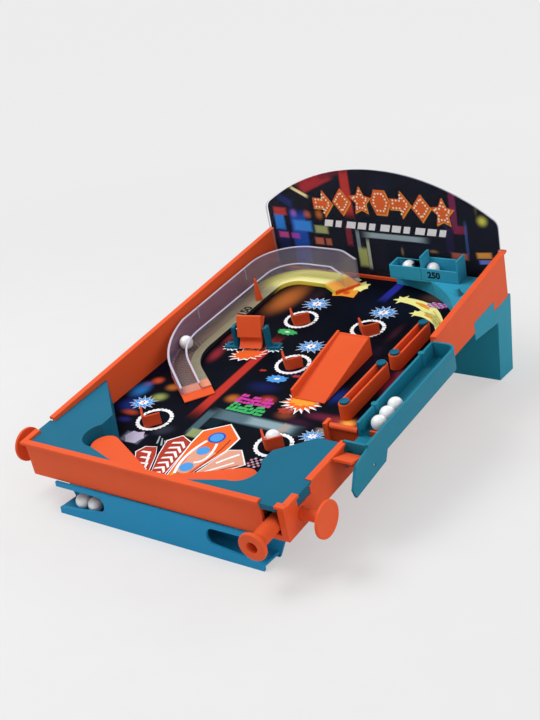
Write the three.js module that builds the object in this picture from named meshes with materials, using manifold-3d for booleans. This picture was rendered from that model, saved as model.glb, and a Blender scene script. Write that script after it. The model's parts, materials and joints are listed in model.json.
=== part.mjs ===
// A tabletop pinball game: a tilted tray with flippers, a firing rod, ball trough, targets and backboard.
// Two frames are used: the table frame (z up from the table) and the tray frame, which is the table
// frame tilted about the front rim. In both, x runs right, y runs to the rear and z runs up.
import * as THREE from 'three';
import { mergeVertices } from 'three/addons/utils/BufferGeometryUtils.js';
import Module from 'manifold-3d';

const wasm = await Module();
wasm.setup();

// Driving sizes in millimetres, with angles in degrees.
const fit = { seat: 0.3, running: 0.4, overrun: 1 };
const facets = {
  small: 10, round: 16, large: 28, ball: 14, ballRings: 9,
  arc: 10, cornerSteps: 5, curlSteps: 8, wireSteps: 5,
};

const tray = {
  width: 235, length: 354, depth: 30.2, wall: 2.5, floor: 2.2,
  rimHeight: 57.5, tiltDegrees: 7, rearRise: 13.8,
  flangeOut: 2.5, flangeThick: 2, rightDrop: 1, lowRim: 14.2, rearStep: 4.5,
  lowFrom: 82, slotLip: 2, slotLipHeight: 6, ribWidth: 3, ribEnds: 30,
  frontNotch: 13.5, frontNotchDepth: 26, sideNotch: 16.4, sideNotchFrom: 18, sideNotchDepth: 12.5,
  standNotchLead: 66, standNotchLength: 38.5, standNotchHeight: 9.2,
};
const lowRimShare = 0.6215;
const ribShare = 0.4522;
const board = { thick: 2, standoff: 1.5, drainHalf: 14, drainFrom: 7, drainTo: 22 };
const ball = { radius: 6 };
const apron = {
  below: 1.5, plate: 2, skirt: 2, tipIn: 33.5, hubGap: 4.2, arcFromDegrees: -96, arcToDegrees: 48,
  shoulderOut: 10.5, shoulderY: 56, supportIn: 27, supportY: 48, supportRadius: 3,
  tongueOut: 4.8, frontTongueDrop: 6,
};
const flipper = {
  fromFront: 31, tipAside: 16.98, hubRadius: 11, tipRadius: 5.5,
  height: 14.7, discThick: 2.5, discClear: 1.5, bossRadius: 4.2, boreRadius: 1.9,
  restDegrees: 21.2, swingDegrees: 40, crank: 7.5, pegRadius: 1.8, pegLength: 8, pinRadius: 1.5,
};
const flipperShare = 0.5522;
const button = {
  radius: 13.5, thick: 2.5, faceOut: 21, stemRadius: 4.2, aheadOfPivot: 10.5, height: 18.7,
  spigotRadius: 2.2, webThick: 2, webHalf: 3.8, webFoot: 4.8, barHalf: 3.5, barThick: 2.4, barTop: 12.7,
  padThick: 2.4, padBehind: 2.2, padAhead: 4.3, padFoot: 20, lugIn: 20, lugThick: 2.4, lugAhead: 15,
  springRadius: 2.6, springWire: 0.8, springCurls: 6, springAhead: 10.2, springReach: 20, postThick: 2.4,
};
const firing = {
  axisIn: 9.8, axisZ: 19.5, tubeRadius: 6, tubeRear: 16, faceY: -22, bellRadius: 10.8, bellLip: 3,
  bellTaper: 8, faceHole: 4.3, faceHoleDepth: 9, shankRadius: 2, shankBoreDepth: 8, headRadius: 4,
  headFrom: 62, headTo: 66, collarFrom: 56, collarTo: 58.5, collarRadius: 4,
  guideFrom: 26, guideTo: 29, guideHalf: 7, springRadius: 3.5, springWire: 0.9, springCurls: 10,
};
const gate = {
  y: 105.5, z: 9, thick: 2, drop: 13.3, leftIn: 24, rightGap: 0.7, pinRadius: 1.2, barrel: 2.5,
  postIn: 28, postWidth: 3, postLength: 8, pinOver: 0.6, pinIntoWall: 1.2,
};
const trough = {
  innerFrom: 103.5, wall: 2, floor: 2, width: 22.8, outerDrop: 3.6, top: 0, outerRise: 1,
  frontWallY: 80, endRadius: 8, lugRadius: 2.6, lugRise: 0.8, hookDrop: 8, hookLead: 8.5, hookShort: 13.7,
  finTop: 2, finNoseY: 61.7, finNoseZ: 5.2, finFrontY: 54.5, finFrontZ: 19.9, finFootY: 57.1, finFootZ: 27.4,
  finHeelY: 99.1, finHeelZ: 25.2, finRearY: 103.4, earFrom: 79.2, earTo: 88.5, earFoot: 22,
  slotLead: 1.4, slotBehind: 3.2, slotInset: 4.4, ballLine: 9,
};
const troughLugShares = [0.215, 0.846];
const lever = {
  pivotY: 84, pivotZ: 18.2, pinRadius: 1.2, barrel: 2.6, thick: 2, tabFront: 60.5, tabRear: 76.8,
  tabFrontZ: 1, tabRearZ: 6.6, sideGap: 0.8, armHalf: 5, lipY: 107, lipThick: 2, lipTop: 8.6, neckHalf: 6,
};
const divider = { width: 10, wall: 2, height: 12.7, pegRadius: 4, pegHead: 1.6, shaftRadius: 2.4 };
const dividerShares = [[0.722, 0.392, 0.554], [0.743, 0.602, 0.7415]];
const longRamp = {
  width: 30, length: 76, rise: 17.2, deck: 2, rail: 2, railFront: 7.6, railRear: 1.6, side: 2, nose: 0.8,
};
const longRampShares = [0.365, 0.4205];
const pocket = {
  halfWidth: 10, depth: 10.5, tipRadius: 4, wall: 1.8, height: 10.2, hornHeight: 12, hornRun: 5,
};
const pocketShares = [[-0.287, 0.729], [0.313, 0.729], [0.009, 0.5425], [-0.5565, 0.2401], [0.426, 0.2514]];
const spinner = {
  yawDegrees: 12.5, axleZ: 7.5, flapHalf: 11, thick: 2.2, topY: 2.2, topZ: 11.9, lipY: -3.4, lipZ: -5.2,
  lowHalf: 10, lowY: -0.7, bendY: -1.5, bendZ: -10, footY: -5.9, footZ: -14.5, cheekThick: 1.8, cheekBack: 8,
  cheekDrop: 4.2, axleRadius: 1.2, barrel: 2.6, postGap: 2.2, postThick: 3, postWidth: 7, postOver: 3,
  footPad: 9, footThick: 2, footPin: 1.6, footPinRise: 1.4, besideRamp: 36,
};
const spinnerShare = 0.59;
const ramp = {
  base: 2.7, lane: 13.4, clearWall: 2, railWall: 1.8, railHeight: 14.2, wallEntry: 6, wallFull: 24,
  stripWidth: 8, stripThick: 0.8, sideGap: 3.5, rearGap: 0.4, lip: 9, lipNose: 0.8,
  entryRadius: 62, cornerRadius: 34, exitRadius: 16, riseRun: 76,
  postRadius: 3.4, postTip: 1, postHeight: 21,
};
const rampEntryShares = [-0.487, 0.3616];
const rampKneeShare = 0.47;
const rampExitShares = [-0.348, -0.165, 0.914];
const rampPostShare = 0.785;
const guide = {
  radius: 102, wall: 2, sideGap: 3, rearGap: 3.5, wallHeight: 12.2, deck: 1.4, fromDegrees: 8, toDegrees: 86,
  postIn: 22.7, postAhead: 32.9, postRadius: 4.5, postTip: 2, postHeight: 6,
};
const cup = {
  beside: 9, leftWidth: 31, rightWidth: 35.4, play: 0.8, floor: 1, wall: 1.4, frontHeight: 11,
  backHeight: 15, rightHeight: 21, splitHeight: 22,
};
const backboard = {
  sheet: 2, card: 0.8, shoulder: 2.3, crown: 188, apex: 81, cornerRadius: 10, cardInset: 1,
};
const foot = {
  endIn: 23, frontY: 3.9, rearY: 25.2, plate: 2.2, lipEnd: 5.2, lipInner: 10, pocketLength: 40.5,
  stripBelow: 4, topFlare: 11.5, floorThick: 2, valleyIn: 23.8, valleyZ: 3.4, crestZ: 7.4, endZ: 5,
  outerBallIn: 17.5, innerBallIn: 30.1,
};
const stand = {
  lead: 20, over: 6, plate: 2.4, leg: 51.5, archTop: 46, archRadius: 18, cheekDrop: 7, cheekRearDrop: 14,
};

// Levels and edges that follow from the driving sizes, in the tray frame.
const halfOuter = tray.width / 2;
const halfInner = halfOuter - tray.wall;
const edgeX = halfInner - fit.seat;
const frontInner = tray.flangeOut + tray.wall;
const rearInner = tray.length - tray.wall;
const underside = -tray.depth;
const floorTop = underside + tray.floor;
const boardBottom = floorTop + board.standoff;
const boardTop = boardBottom + board.thick;
const seat = boardTop + fit.seat;
const sheetRear = rearInner - backboard.card - 2 * fit.seat;
const sheetFront = sheetRear - backboard.sheet;
const slotLipRear = sheetFront - fit.seat;
const fieldRear = slotLipRear - tray.slotLip - fit.seat;
const apronTop = -apron.below;
const apronUnder = apronTop - apron.plate;

const rightAngle = 90;
const turn = THREE.MathUtils.degToRad;
const shareX = (share) => share * halfInner;
const shareY = (share) => share * tray.length;
const rimAt = (y) => (tray.rearRise * Math.max(y, 0)) / tray.length;

const tilt = turn(tray.tiltDegrees);
const halfSwing = turn(flipper.swingDegrees / 2);
const pivotX = shareX(flipperShare);
const flipperReach = (pivotX - flipper.tipAside) / Math.cos(turn(flipper.restDegrees));
const buttonY = flipper.fromFront - button.aheadOfPivot;
const buttonFace = halfOuter + button.faceOut;
const lugX = halfInner - button.lugIn;
const springPostX = lugX - button.springReach;
const firingX = halfInner - firing.axisIn;
const laneWallX = firingX - firing.guideHalf - fit.seat;
const gatePostX = halfInner - gate.postIn;
const lowTo = shareY(lowRimShare);
const standNotchFrom = tray.length - tray.standNotchLead;
const standNotchTo = standNotchFrom + tray.standNotchLength;
const standFront = tray.length - stand.lead;
const standRear = tray.length + stand.over;
const footHalf = halfOuter - foot.endIn;
const valleyX = footHalf - foot.valleyIn;

// The same point of the tray, given in the table frame.
function onTable(y, z) {
  const back = y * Math.cos(tilt) - z * Math.sin(tilt);
  const up = y * Math.sin(tilt) + z * Math.cos(tilt) + tray.rimHeight;
  return [back, up];
}

// Height of the tray's underside over the table at a distance behind the front rim.
function undersideAt(back) {
  return tray.rimHeight + back * Math.tan(tilt) + underside / Math.cos(tilt);
}

// Closed meshes become solids for cutting and joining.
function toSolid(geometry) {
  const bare = geometry.clone();
  bare.deleteAttribute('normal');
  bare.deleteAttribute('uv');
  const merged = mergeVertices(bare);
  const points = merged.attributes.position.array;
  const corners = merged.index.array;
  const kept = [];
  for (let i = 0; i < corners.length; i += 3) {
    const [a, b, c] = [corners[i], corners[i + 1], corners[i + 2]];
    if (a !== b && b !== c && c !== a) kept.push(a, b, c);
  }
  if (signedVolume(points, kept) < 0) kept.reverse();
  return new wasm.Manifold(new wasm.Mesh({
    numProp: 3, vertProperties: new Float32Array(points), triVerts: new Uint32Array(kept),
  }));
}

function signedVolume(points, corners) {
  let total = 0;
  for (let i = 0; i < corners.length; i += 3) {
    const [a, b, c] = [0, 1, 2].map((k) => new THREE.Vector3().fromArray(points, 3 * corners[i + k]));
    total += a.dot(b.cross(c)) / 6;
  }
  return total;
}

function toGeometry(solid) {
  const mesh = solid.getMesh();
  const geometry = new THREE.BufferGeometry();
  geometry.setAttribute('position', new THREE.BufferAttribute(new Float32Array(mesh.vertProperties), 3));
  geometry.setIndex(new THREE.BufferAttribute(new Uint32Array(mesh.triVerts), 1));
  geometry.computeVertexNormals();
  return geometry;
}

const join = (...solids) => solids.reduce((whole, next) => whole.add(next));
const cut = (solid, ...tools) => tools.reduce((left, tool) => left.subtract(tool), solid);

function mirrorX(geometry) {
  const mirrored = geometry.clone().scale(-1, 1, 1);
  mirrored.index.array.reverse();
  mirrored.computeVertexNormals();
  return mirrored;
}

// Basic bodies.
function block(x0, x1, y0, y1, z0, z1) {
  const box = new THREE.BoxGeometry(x1 - x0, y1 - y0, z1 - z0);
  return toSolid(box.translate((x0 + x1) / 2, (y0 + y1) / 2, (z0 + z1) / 2));
}

function outlineShape(points) {
  return new THREE.Shape(points.map(([a, b]) => new THREE.Vector2(a, b)));
}

function extrude(points, depth) {
  return new THREE.ExtrudeGeometry(outlineShape(points), { depth, bevelEnabled: false });
}

// An outline in x and y, carried up in z.
function plan(points, z0, z1) {
  return toSolid(extrude(points, z1 - z0).translate(0, 0, z0));
}

// An outline in y and z, carried along x.
function profile(points, x0, x1) {
  const lie = new THREE.Matrix4().makeBasis(
    new THREE.Vector3(0, 1, 0), new THREE.Vector3(0, 0, 1), new THREE.Vector3(1, 0, 0),
  );
  return toSolid(extrude(points, x1 - x0).applyMatrix4(lie).translate(x0, 0, 0));
}

// An outline in x and z, carried along y.
function front(points, y0, y1) {
  return toSolid(extrude(points, y1 - y0).rotateX(Math.PI / 2).translate(0, y1, 0));
}

function post(x, y, z0, z1, radius, topRadius = radius, sides = facets.round) {
  const shaft = new THREE.CylinderGeometry(topRadius, radius, z1 - z0, sides).rotateX(Math.PI / 2);
  return toSolid(shaft.translate(x, y, (z0 + z1) / 2));
}

function bar(x0, x1, y, z, radius, sides = facets.round) {
  const shaft = new THREE.CylinderGeometry(radius, radius, x1 - x0, sides).rotateZ(Math.PI / 2);
  return toSolid(shaft.translate((x0 + x1) / 2, y, z));
}

// A turned body on an axis along y, from radius and place pairs.
function turned(pairs, x, z, sides = facets.round) {
  const outline = pairs.map(([radius, y]) => new THREE.Vector2(radius, y));
  return toSolid(new THREE.LatheGeometry(outline, sides).translate(x, 0, z));
}

function sphere() {
  return toSolid(new THREE.SphereGeometry(ball.radius, facets.ball, facets.ballRings));
}

// Points on an arc.
function arc(cx, cy, radius, from, to, steps = facets.arc) {
  return Array.from({ length: steps + 1 }, (_, i) => {
    const angle = turn(from + ((to - from) * i) / steps);
    return [cx + radius * Math.cos(angle), cy + radius * Math.sin(angle)];
  });
}

// A path through corners, each given as x, y and the radius that rounds it.
function rounded(corners, steps = facets.arc) {
  const path = [corners[0].slice(0, 2)];
  for (let i = 1; i < corners.length - 1; i++) {
    const here = new THREE.Vector2(corners[i][0], corners[i][1]);
    const back = new THREE.Vector2(corners[i - 1][0], corners[i - 1][1]).sub(here).normalize();
    const ahead = new THREE.Vector2(corners[i + 1][0], corners[i + 1][1]).sub(here).normalize();
    const half = Math.acos(THREE.MathUtils.clamp(back.dot(ahead), -1, 1)) / 2;
    const inwards = back.clone().add(ahead).setLength(corners[i][2] / Math.sin(half));
    const centre = inwards.add(here);
    const start = back.multiplyScalar(corners[i][2] / Math.tan(half)).add(here).sub(centre);
    const end = ahead.multiplyScalar(corners[i][2] / Math.tan(half)).add(here).sub(centre);
    let sweep = end.angle() - start.angle();
    if (sweep > Math.PI) sweep -= 2 * Math.PI;
    if (sweep < -Math.PI) sweep += 2 * Math.PI;
    for (let k = 0; k <= steps; k++) {
      const spoke = start.clone().rotateAround(new THREE.Vector2(), (sweep * k) / steps).add(centre);
      path.push([spoke.x, spoke.y]);
    }
  }
  path.push(corners.at(-1).slice(0, 2));
  return path;
}

// A standing wall along a path in x and y. near and far are offsets to the left of the path, and
// bottom and top are heights, each a number or a function of a path point.
function wall(path, near, far, bottom, top, closed = false) {
  const count = path.length;
  const level = (value, point) => (typeof value === 'function' ? value(point) : value);
  const points = [];
  path.forEach((point, i) => {
    const before = path[closed ? (i + count - 1) % count : Math.max(i - 1, 0)];
    const after = path[closed ? (i + 1) % count : Math.min(i + 1, count - 1)];
    const into = new THREE.Vector2(point[0] - before[0], point[1] - before[1]).normalize();
    const out = new THREE.Vector2(after[0] - point[0], after[1] - point[1]).normalize();
    const along = into.clone().add(out).normalize();
    const straight = Math.max(along.dot(into), along.dot(out));
    const side = new THREE.Vector2(-along.y, along.x).divideScalar(straight);
    const low = level(bottom, point);
    const high = level(top, point);
    for (const [offset, z] of [[near, low], [far, low], [far, high], [near, high]]) {
      points.push(point[0] + side.x * offset, point[1] + side.y * offset, z);
    }
  });
  const corners = [];
  const last = closed ? count : count - 1;
  for (let i = 0; i < last; i++) {
    const here = 4 * i;
    const next = 4 * ((i + 1) % count);
    for (let k = 0; k < 4; k++) {
      const m = (k + 1) % 4;
      corners.push(here + k, here + m, next + k, here + m, next + m, next + k);
    }
  }
  if (!closed) {
    const end = 4 * (count - 1);
    corners.push(0, 3, 2, 0, 2, 1, end, end + 1, end + 2, end, end + 2, end + 3);
  }
  const geometry = new THREE.BufferGeometry();
  geometry.setAttribute('position', new THREE.Float32BufferAttribute(points, 3));
  geometry.setIndex(corners);
  return toSolid(geometry);
}

// A coil spring along +y from the origin, as one unbroken tube with flat ends.
function coil(name, radius, wire, length, curls) {
  const sides = facets.wireSteps;
  const steps = curls * facets.curlSteps;
  const rise = (length - wire) / steps;
  const middle = [];
  const points = [];
  const slope = Math.atan2(rise * facets.curlSteps, 2 * Math.PI * radius);
  for (let i = 0; i <= steps; i++) {
    const angle = (2 * Math.PI * i) / facets.curlSteps;
    const outward = new THREE.Vector3(Math.cos(angle), 0, Math.sin(angle));
    const along = new THREE.Vector3(-Math.sin(angle), 0, Math.cos(angle)).multiplyScalar(Math.cos(slope));
    along.y = Math.sin(slope);
    const across = outward.clone().cross(along);
    const centre = outward.clone().multiplyScalar(radius).setY(wire / 2 + rise * i);
    middle.push(centre);
    for (let k = 0; k < sides; k++) {
      const round = (2 * Math.PI * k) / sides;
      const rim = centre.clone();
      rim.addScaledVector(outward, (wire / 2) * Math.cos(round));
      rim.addScaledVector(across, (wire / 2) * Math.sin(round));
      points.push(rim.x, rim.y, rim.z);
    }
  }
  const corners = [];
  for (let i = 0; i < steps; i++) {
    for (let k = 0; k < sides; k++) {
      const [a, b] = [i * sides + k, i * sides + ((k + 1) % sides)];
      corners.push(a, b, a + sides, b, b + sides, a + sides);
    }
  }
  for (let k = 1; k < sides - 1; k++) {
    const end = steps * sides;
    corners.push(0, k + 1, k, end, end + k, end + k + 1);
  }
  let gap = Infinity;
  for (let i = 0; i < middle.length; i++) {
    for (let j = i + facets.curlSteps / 2; j < middle.length; j++) {
      gap = Math.min(gap, middle[i].distanceTo(middle[j]) - wire);
    }
  }
  console.log(`${name}: least gap between curls ${gap.toFixed(2)} mm`);
  const geometry = new THREE.BufferGeometry();
  geometry.setAttribute('position', new THREE.Float32BufferAttribute(points, 3));
  geometry.setIndex(corners);
  return toGeometry(toSolid(geometry));
}

// Tray: floor, walls, rim flange, notches for the rod, buttons and stand, and the drain.
function makeTray() {
  const rearTop = [tray.length, rimAt(tray.length)];
  const leftWall = [[tray.flangeOut, underside], [tray.length, underside], rearTop, [tray.flangeOut, 0]];
  const rightWall = [
    [tray.flangeOut, underside], [tray.length, underside], rearTop, [lowTo, tray.rearStep],
    [lowTo, -tray.lowRim], [tray.lowFrom, -tray.lowRim],
    [tray.lowFrom, -tray.rightDrop], [tray.flangeOut, -tray.rightDrop],
  ];
  const flange = (y0, z0, y1, z1, side) => profile(
    [[y0, z0 - tray.flangeThick], [y1, z1 - tray.flangeThick], [y1, z1], [y0, z0]],
    side > 0 ? halfOuter - fit.overrun : -halfOuter - tray.flangeOut,
    side > 0 ? halfOuter + tray.flangeOut : -halfOuter + fit.overrun,
  );
  const shell = join(
    block(-halfOuter, halfOuter, tray.flangeOut, tray.length, underside, floorTop),
    profile(leftWall, -halfOuter, -halfInner),
    profile(rightWall, halfInner, halfOuter),
    block(-halfOuter, halfOuter, tray.flangeOut, frontInner, underside, 0),
    block(-halfOuter, halfOuter, rearInner, tray.length, underside, rimAt(tray.length)),
    block(
      -halfInner, halfInner, fieldRear + fit.seat, slotLipRear,
      floorTop - fit.overrun, floorTop + tray.slotLipHeight,
    ),
    flange(0, 0, tray.length, rimAt(tray.length), -1),
    flange(0, -tray.rightDrop, trough.frontWallY - fit.seat, -tray.rightDrop, 1),
    flange(lowTo, tray.rearStep, tray.length, rimAt(tray.length), 1),
    block(
      -halfOuter - tray.flangeOut, halfOuter + tray.flangeOut,
      0, tray.flangeOut + fit.overrun, -tray.flangeThick, 0,
    ),
  );
  const ribs = [-1, 1].map((side) => block(
    shareX(side * ribShare) - tray.ribWidth / 2, shareX(side * ribShare) + tray.ribWidth / 2,
    tray.ribEnds, fieldRear - tray.ribEnds, floorTop - fit.overrun / 2, boardBottom - fit.seat,
  ));
  const rodNotch = block(
    firingX - tray.frontNotch / 2, firingX + tray.frontNotch / 2,
    -fit.overrun, frontInner + fit.overrun, -tray.frontNotchDepth, fit.overrun,
  );
  const wideOut = halfOuter + tray.flangeOut + fit.overrun;
  const sideCut = (side, from, ...rest) => block(
    Math.min(side * from, side * wideOut), Math.max(side * from, side * wideOut), ...rest,
  );
  const sideNotches = [-1, 1].map((side) => sideCut(
    side, halfInner - fit.overrun, tray.sideNotchFrom, tray.sideNotchFrom + tray.sideNotch,
    -tray.sideNotchDepth, fit.overrun + tray.flangeThick,
  ));
  const stemHoles = bar(-wideOut, wideOut, buttonY, -button.height, button.stemRadius + fit.seat);
  const floorHoles = [-1, 1].map((side) => post(
    side * pivotX, flipper.fromFront,
    underside - fit.overrun, floorTop + fit.overrun, flipper.pinRadius + fit.seat,
  ));
  floorHoles.push(block(
    -board.drainHalf, board.drainHalf, board.drainFrom, board.drainTo,
    underside - fit.overrun, floorTop + fit.overrun,
  ));
  const standNotches = [-1, 1].map((side) => sideCut(
    side, halfInner, standNotchFrom, standNotchTo, underside - fit.overrun, underside + tray.standNotchHeight,
  ));
  return cut(join(shell, ...ribs), rodNotch, ...sideNotches, stemHoles, ...floorHoles, ...standNotches);
}

// Printed playfield board, lying on the tray's ribs.
function makeBoard() {
  const sheet = block(-edgeX, edgeX, frontInner + fit.seat, fieldRear, boardBottom, boardTop);
  const rodRelief = block(
    firingX - tray.frontNotch / 2, firingX + tray.frontNotch / 2,
    0, firing.tubeRear + fit.overrun, boardBottom - fit.overrun, boardTop + fit.overrun,
  );
  const drain = block(
    -board.drainHalf, board.drainHalf, board.drainFrom, board.drainTo,
    boardBottom - fit.overrun, boardTop + fit.overrun,
  );
  const pinHoles = [-1, 1].map((side) => post(
    side * pivotX, flipper.fromFront,
    boardBottom - fit.overrun, boardTop + fit.overrun, flipper.pinRadius + fit.seat,
  ));
  return cut(sheet, rodRelief, drain, ...pinHoles);
}

// Apron over a flipper crank and button slide, built for the right-hand side.
function makeApron(overLane) {
  const hubArc = arc(
    pivotX, flipper.fromFront, flipper.hubRadius + apron.hubGap, apron.arcFromDegrees, apron.arcToDegrees,
  );
  const shoulderX = pivotX + apron.shoulderOut;
  const slopeX = overLane ? laneWallX : edgeX;
  const rearEdge = apron.shoulderY + slopeX - shoulderX;
  const frontEdge = frontInner + fit.seat;
  const innerEdge = [
    [pivotX - apron.tipIn, frontEdge], ...hubArc, [shoulderX, apron.shoulderY], [slopeX, rearEdge],
  ];
  const outline = [...innerEdge, ...(overLane ? [[edgeX, rearEdge]] : []), [edgeX, frontEdge]];
  const skirt = wall(innerEdge, -apron.skirt, 0, seat, apronUnder + apron.plate / 2)
    .intersect(plan(outline, seat - fit.overrun, apronTop));
  const tongueOut = halfInner + apron.tongueOut;
  const notchFrom = tray.sideNotchFrom + fit.seat;
  const notchTo = tray.sideNotchFrom + tray.sideNotch - fit.seat;
  const pieces = [
    plan(outline, apronUnder, apronTop),
    skirt,
    block(edgeX - apron.skirt, tongueOut, notchFrom, notchTo, apronUnder, apronTop),
    block(
      halfInner + fit.seat, halfOuter - fit.seat, notchFrom, notchTo,
      fit.seat - tray.sideNotchDepth, apronTop,
    ),
    post(
      halfInner - apron.supportIn, apron.supportY, seat, apronUnder + apron.plate / 2, apron.supportRadius,
    ),
    block(
      springPostX - button.postThick, springPostX,
      buttonY - button.lugAhead + apron.skirt, buttonY - button.barHalf - 2 * fit.seat - button.postThick / 2,
      -button.barTop - 2 * button.springRadius - button.springWire, apronUnder + apron.plate / 2,
    ),
  ];
  if (overLane) {
    pieces.push(
      block(
        laneWallX - apron.skirt, laneWallX, firing.guideTo + fit.seat, rearEdge,
        seat, apronUnder + apron.plate / 2,
      ),
      block(
        firingX - tray.frontNotch / 2 + fit.seat, firingX + tray.frontNotch / 2 - fit.seat,
        tray.flangeOut - fit.overrun, frontEdge + fit.overrun, -apron.frontTongueDrop, apronTop,
      ),
    );
  }
  const barSlot = block(
    pivotX + fit.overrun, pivotX + flipper.hubRadius + apron.hubGap + 2 * apron.skirt,
    buttonY - button.barHalf - fit.running, buttonY + button.barHalf + fit.running,
    seat - fit.overrun, -button.barTop + fit.running,
  );
  return toGeometry(cut(join(...pieces), barSlot));
}

// Flipper about its pivot, reaching to +x, as on the left-hand side.
function makeFlipper() {
  const lean = Math.asin((flipper.hubRadius - flipper.tipRadius) / flipperReach) / turn(1);
  const outline = [
    ...arc(0, 0, flipper.hubRadius, rightAngle - lean, 3 * rightAngle + lean, facets.round),
    ...arc(flipperReach, 0, flipper.tipRadius, lean - rightAngle, rightAngle - lean),
  ];
  const under = flipper.height - flipper.discThick;
  const blade = cut(
    plan(outline, 0, flipper.height),
    post(0, 0, -fit.overrun, under, flipper.hubRadius + flipper.discClear, undefined, facets.large),
  );
  const boss = post(0, 0, 0, under + fit.overrun, flipper.bossRadius);
  const pegAngle = turn(flipper.restDegrees - flipper.swingDegrees / 2 - rightAngle);
  const peg = post(
    flipper.crank * Math.cos(pegAngle), flipper.crank * Math.sin(pegAngle),
    under - flipper.pegLength, under + fit.overrun, flipper.pegRadius, undefined, facets.small,
  );
  const bore = post(0, 0, -fit.overrun, under, flipper.boreRadius);
  return toGeometry(cut(join(blade, boss, peg), bore));
}

function makeFlipperPin() {
  const top = seat + flipper.height - flipper.discThick - fit.running;
  return toGeometry(post(0, 0, underside + fit.seat, top, flipper.pinRadius));
}

// Round side button with its stem and spigot, for the right-hand side.
function makeButton() {
  const stemEnd = halfInner;
  return toGeometry(join(
    bar(buttonFace - button.thick, buttonFace, buttonY, -button.height, button.radius, facets.large),
    bar(stemEnd, buttonFace - button.thick / 2, buttonY, -button.height, button.stemRadius),
    bar(edgeX - button.webThick, stemEnd + fit.overrun, buttonY, -button.height, button.spigotRadius),
  ));
}

// Slide behind the button: web on the spigot, bar over the rod, pad at the flipper's peg and spring lug.
function makeSlide() {
  const barBottom = -button.barTop - button.barThick;
  const pegX = pivotX + flipper.crank * Math.sin(halfSwing);
  const pegY = flipper.fromFront - flipper.crank * Math.cos(halfSwing);
  const padX = pegX + flipper.pegRadius + fit.seat;
  const web = block(
    edgeX - button.webThick, edgeX, buttonY - button.webHalf, buttonY + button.barHalf,
    -button.height - button.webFoot, -button.barTop,
  );
  const reach = block(
    padX, edgeX, buttonY - button.barHalf, buttonY + button.barHalf, barBottom, -button.barTop,
  );
  const pad = block(
    padX, padX + button.padThick, pegY - button.padAhead, pegY + button.padBehind,
    -button.padFoot, -button.barTop,
  );
  const lug = block(
    lugX - button.lugThick, lugX, buttonY - button.lugAhead, buttonY - button.barHalf + fit.overrun,
    -button.barTop - 2 * button.springRadius - button.springWire, -button.barTop + button.springRadius,
  );
  const eye = bar(
    edgeX - button.webThick - fit.overrun, edgeX + fit.overrun,
    buttonY, -button.height, button.spigotRadius + fit.seat,
  );
  return toGeometry(cut(join(web, reach, pad, lug), eye));
}

// Firing knob with its tube, hollow at the face and at the rear, where the rod's shank enters.
function makeKnob() {
  const boreFront = firing.tubeRear - firing.shankBoreDepth;
  const shankBore = firing.shankRadius + fit.seat;
  return toGeometry(turned([
    [0, firing.faceY + firing.faceHoleDepth], [firing.faceHole, firing.faceY + firing.faceHoleDepth],
    [firing.faceHole, firing.faceY], [firing.bellRadius, firing.faceY],
    [firing.bellRadius, firing.faceY + firing.bellLip],
    [firing.tubeRadius, firing.faceY + firing.bellTaper], [firing.tubeRadius, firing.tubeRear],
    [shankBore, firing.tubeRear], [shankBore, boreFront], [0, boreFront],
  ], firingX, -firing.axisZ, facets.large));
}

function makeRod() {
  const start = firing.tubeRear - firing.shankBoreDepth + fit.seat;
  const r = firing.shankRadius;
  return toGeometry(turned([
    [0, start], [r, start], [r, firing.collarFrom], [firing.collarRadius, firing.collarFrom],
    [firing.collarRadius, firing.collarTo], [r, firing.collarTo], [r, firing.headFrom],
    [firing.headRadius, firing.headFrom], [firing.headRadius, firing.headTo], [0, firing.headTo],
  ], firingX, -firing.axisZ));
}

function makeRodGuide() {
  const body = block(
    firingX - firing.guideHalf, firingX + firing.guideHalf,
    firing.guideFrom, firing.guideTo, seat, apronUnder - fit.seat,
  );
  const bore = turned([
    [0, firing.guideFrom - fit.overrun], [firing.shankRadius + fit.running, firing.guideFrom - fit.overrun],
    [firing.shankRadius + fit.running, firing.guideTo + fit.overrun], [0, firing.guideTo + fit.overrun],
  ], firingX, -firing.axisZ);
  return toGeometry(cut(body, bore));
}

// One-way gate across the firing lane, hung from its pin.
function makeGate() {
  const right = halfInner - gate.rightGap;
  const left = halfInner - gate.leftIn;
  const flap = block(left, right, -gate.thick / 2, gate.thick / 2, -gate.drop, 0);
  const barrel = bar(left, right, 0, 0, gate.barrel);
  const bore = bar(
    left - fit.overrun, right + fit.overrun, 0, 0, gate.pinRadius + fit.running, facets.small,
  );
  return toGeometry(cut(join(flap, barrel), bore));
}

function makeGatePin() {
  const end = halfInner + fit.seat + gate.pinIntoWall;
  return toGeometry(bar(gatePostX - gate.pinOver, end, 0, 0, gate.pinRadius, facets.small));
}

function makeGateBracket() {
  const half = gate.postLength / 2;
  const cheek = block(
    gatePostX, gatePostX + gate.postWidth, gate.y - half, gate.y + half,
    seat, -gate.z + gate.barrel + fit.overrun,
  );
  const hole = bar(
    gatePostX - fit.overrun, gatePostX + gate.postWidth + fit.overrun,
    gate.y, -gate.z, gate.pinRadius + fit.seat, facets.small,
  );
  return toGeometry(cut(cheek, hole));
}

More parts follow.
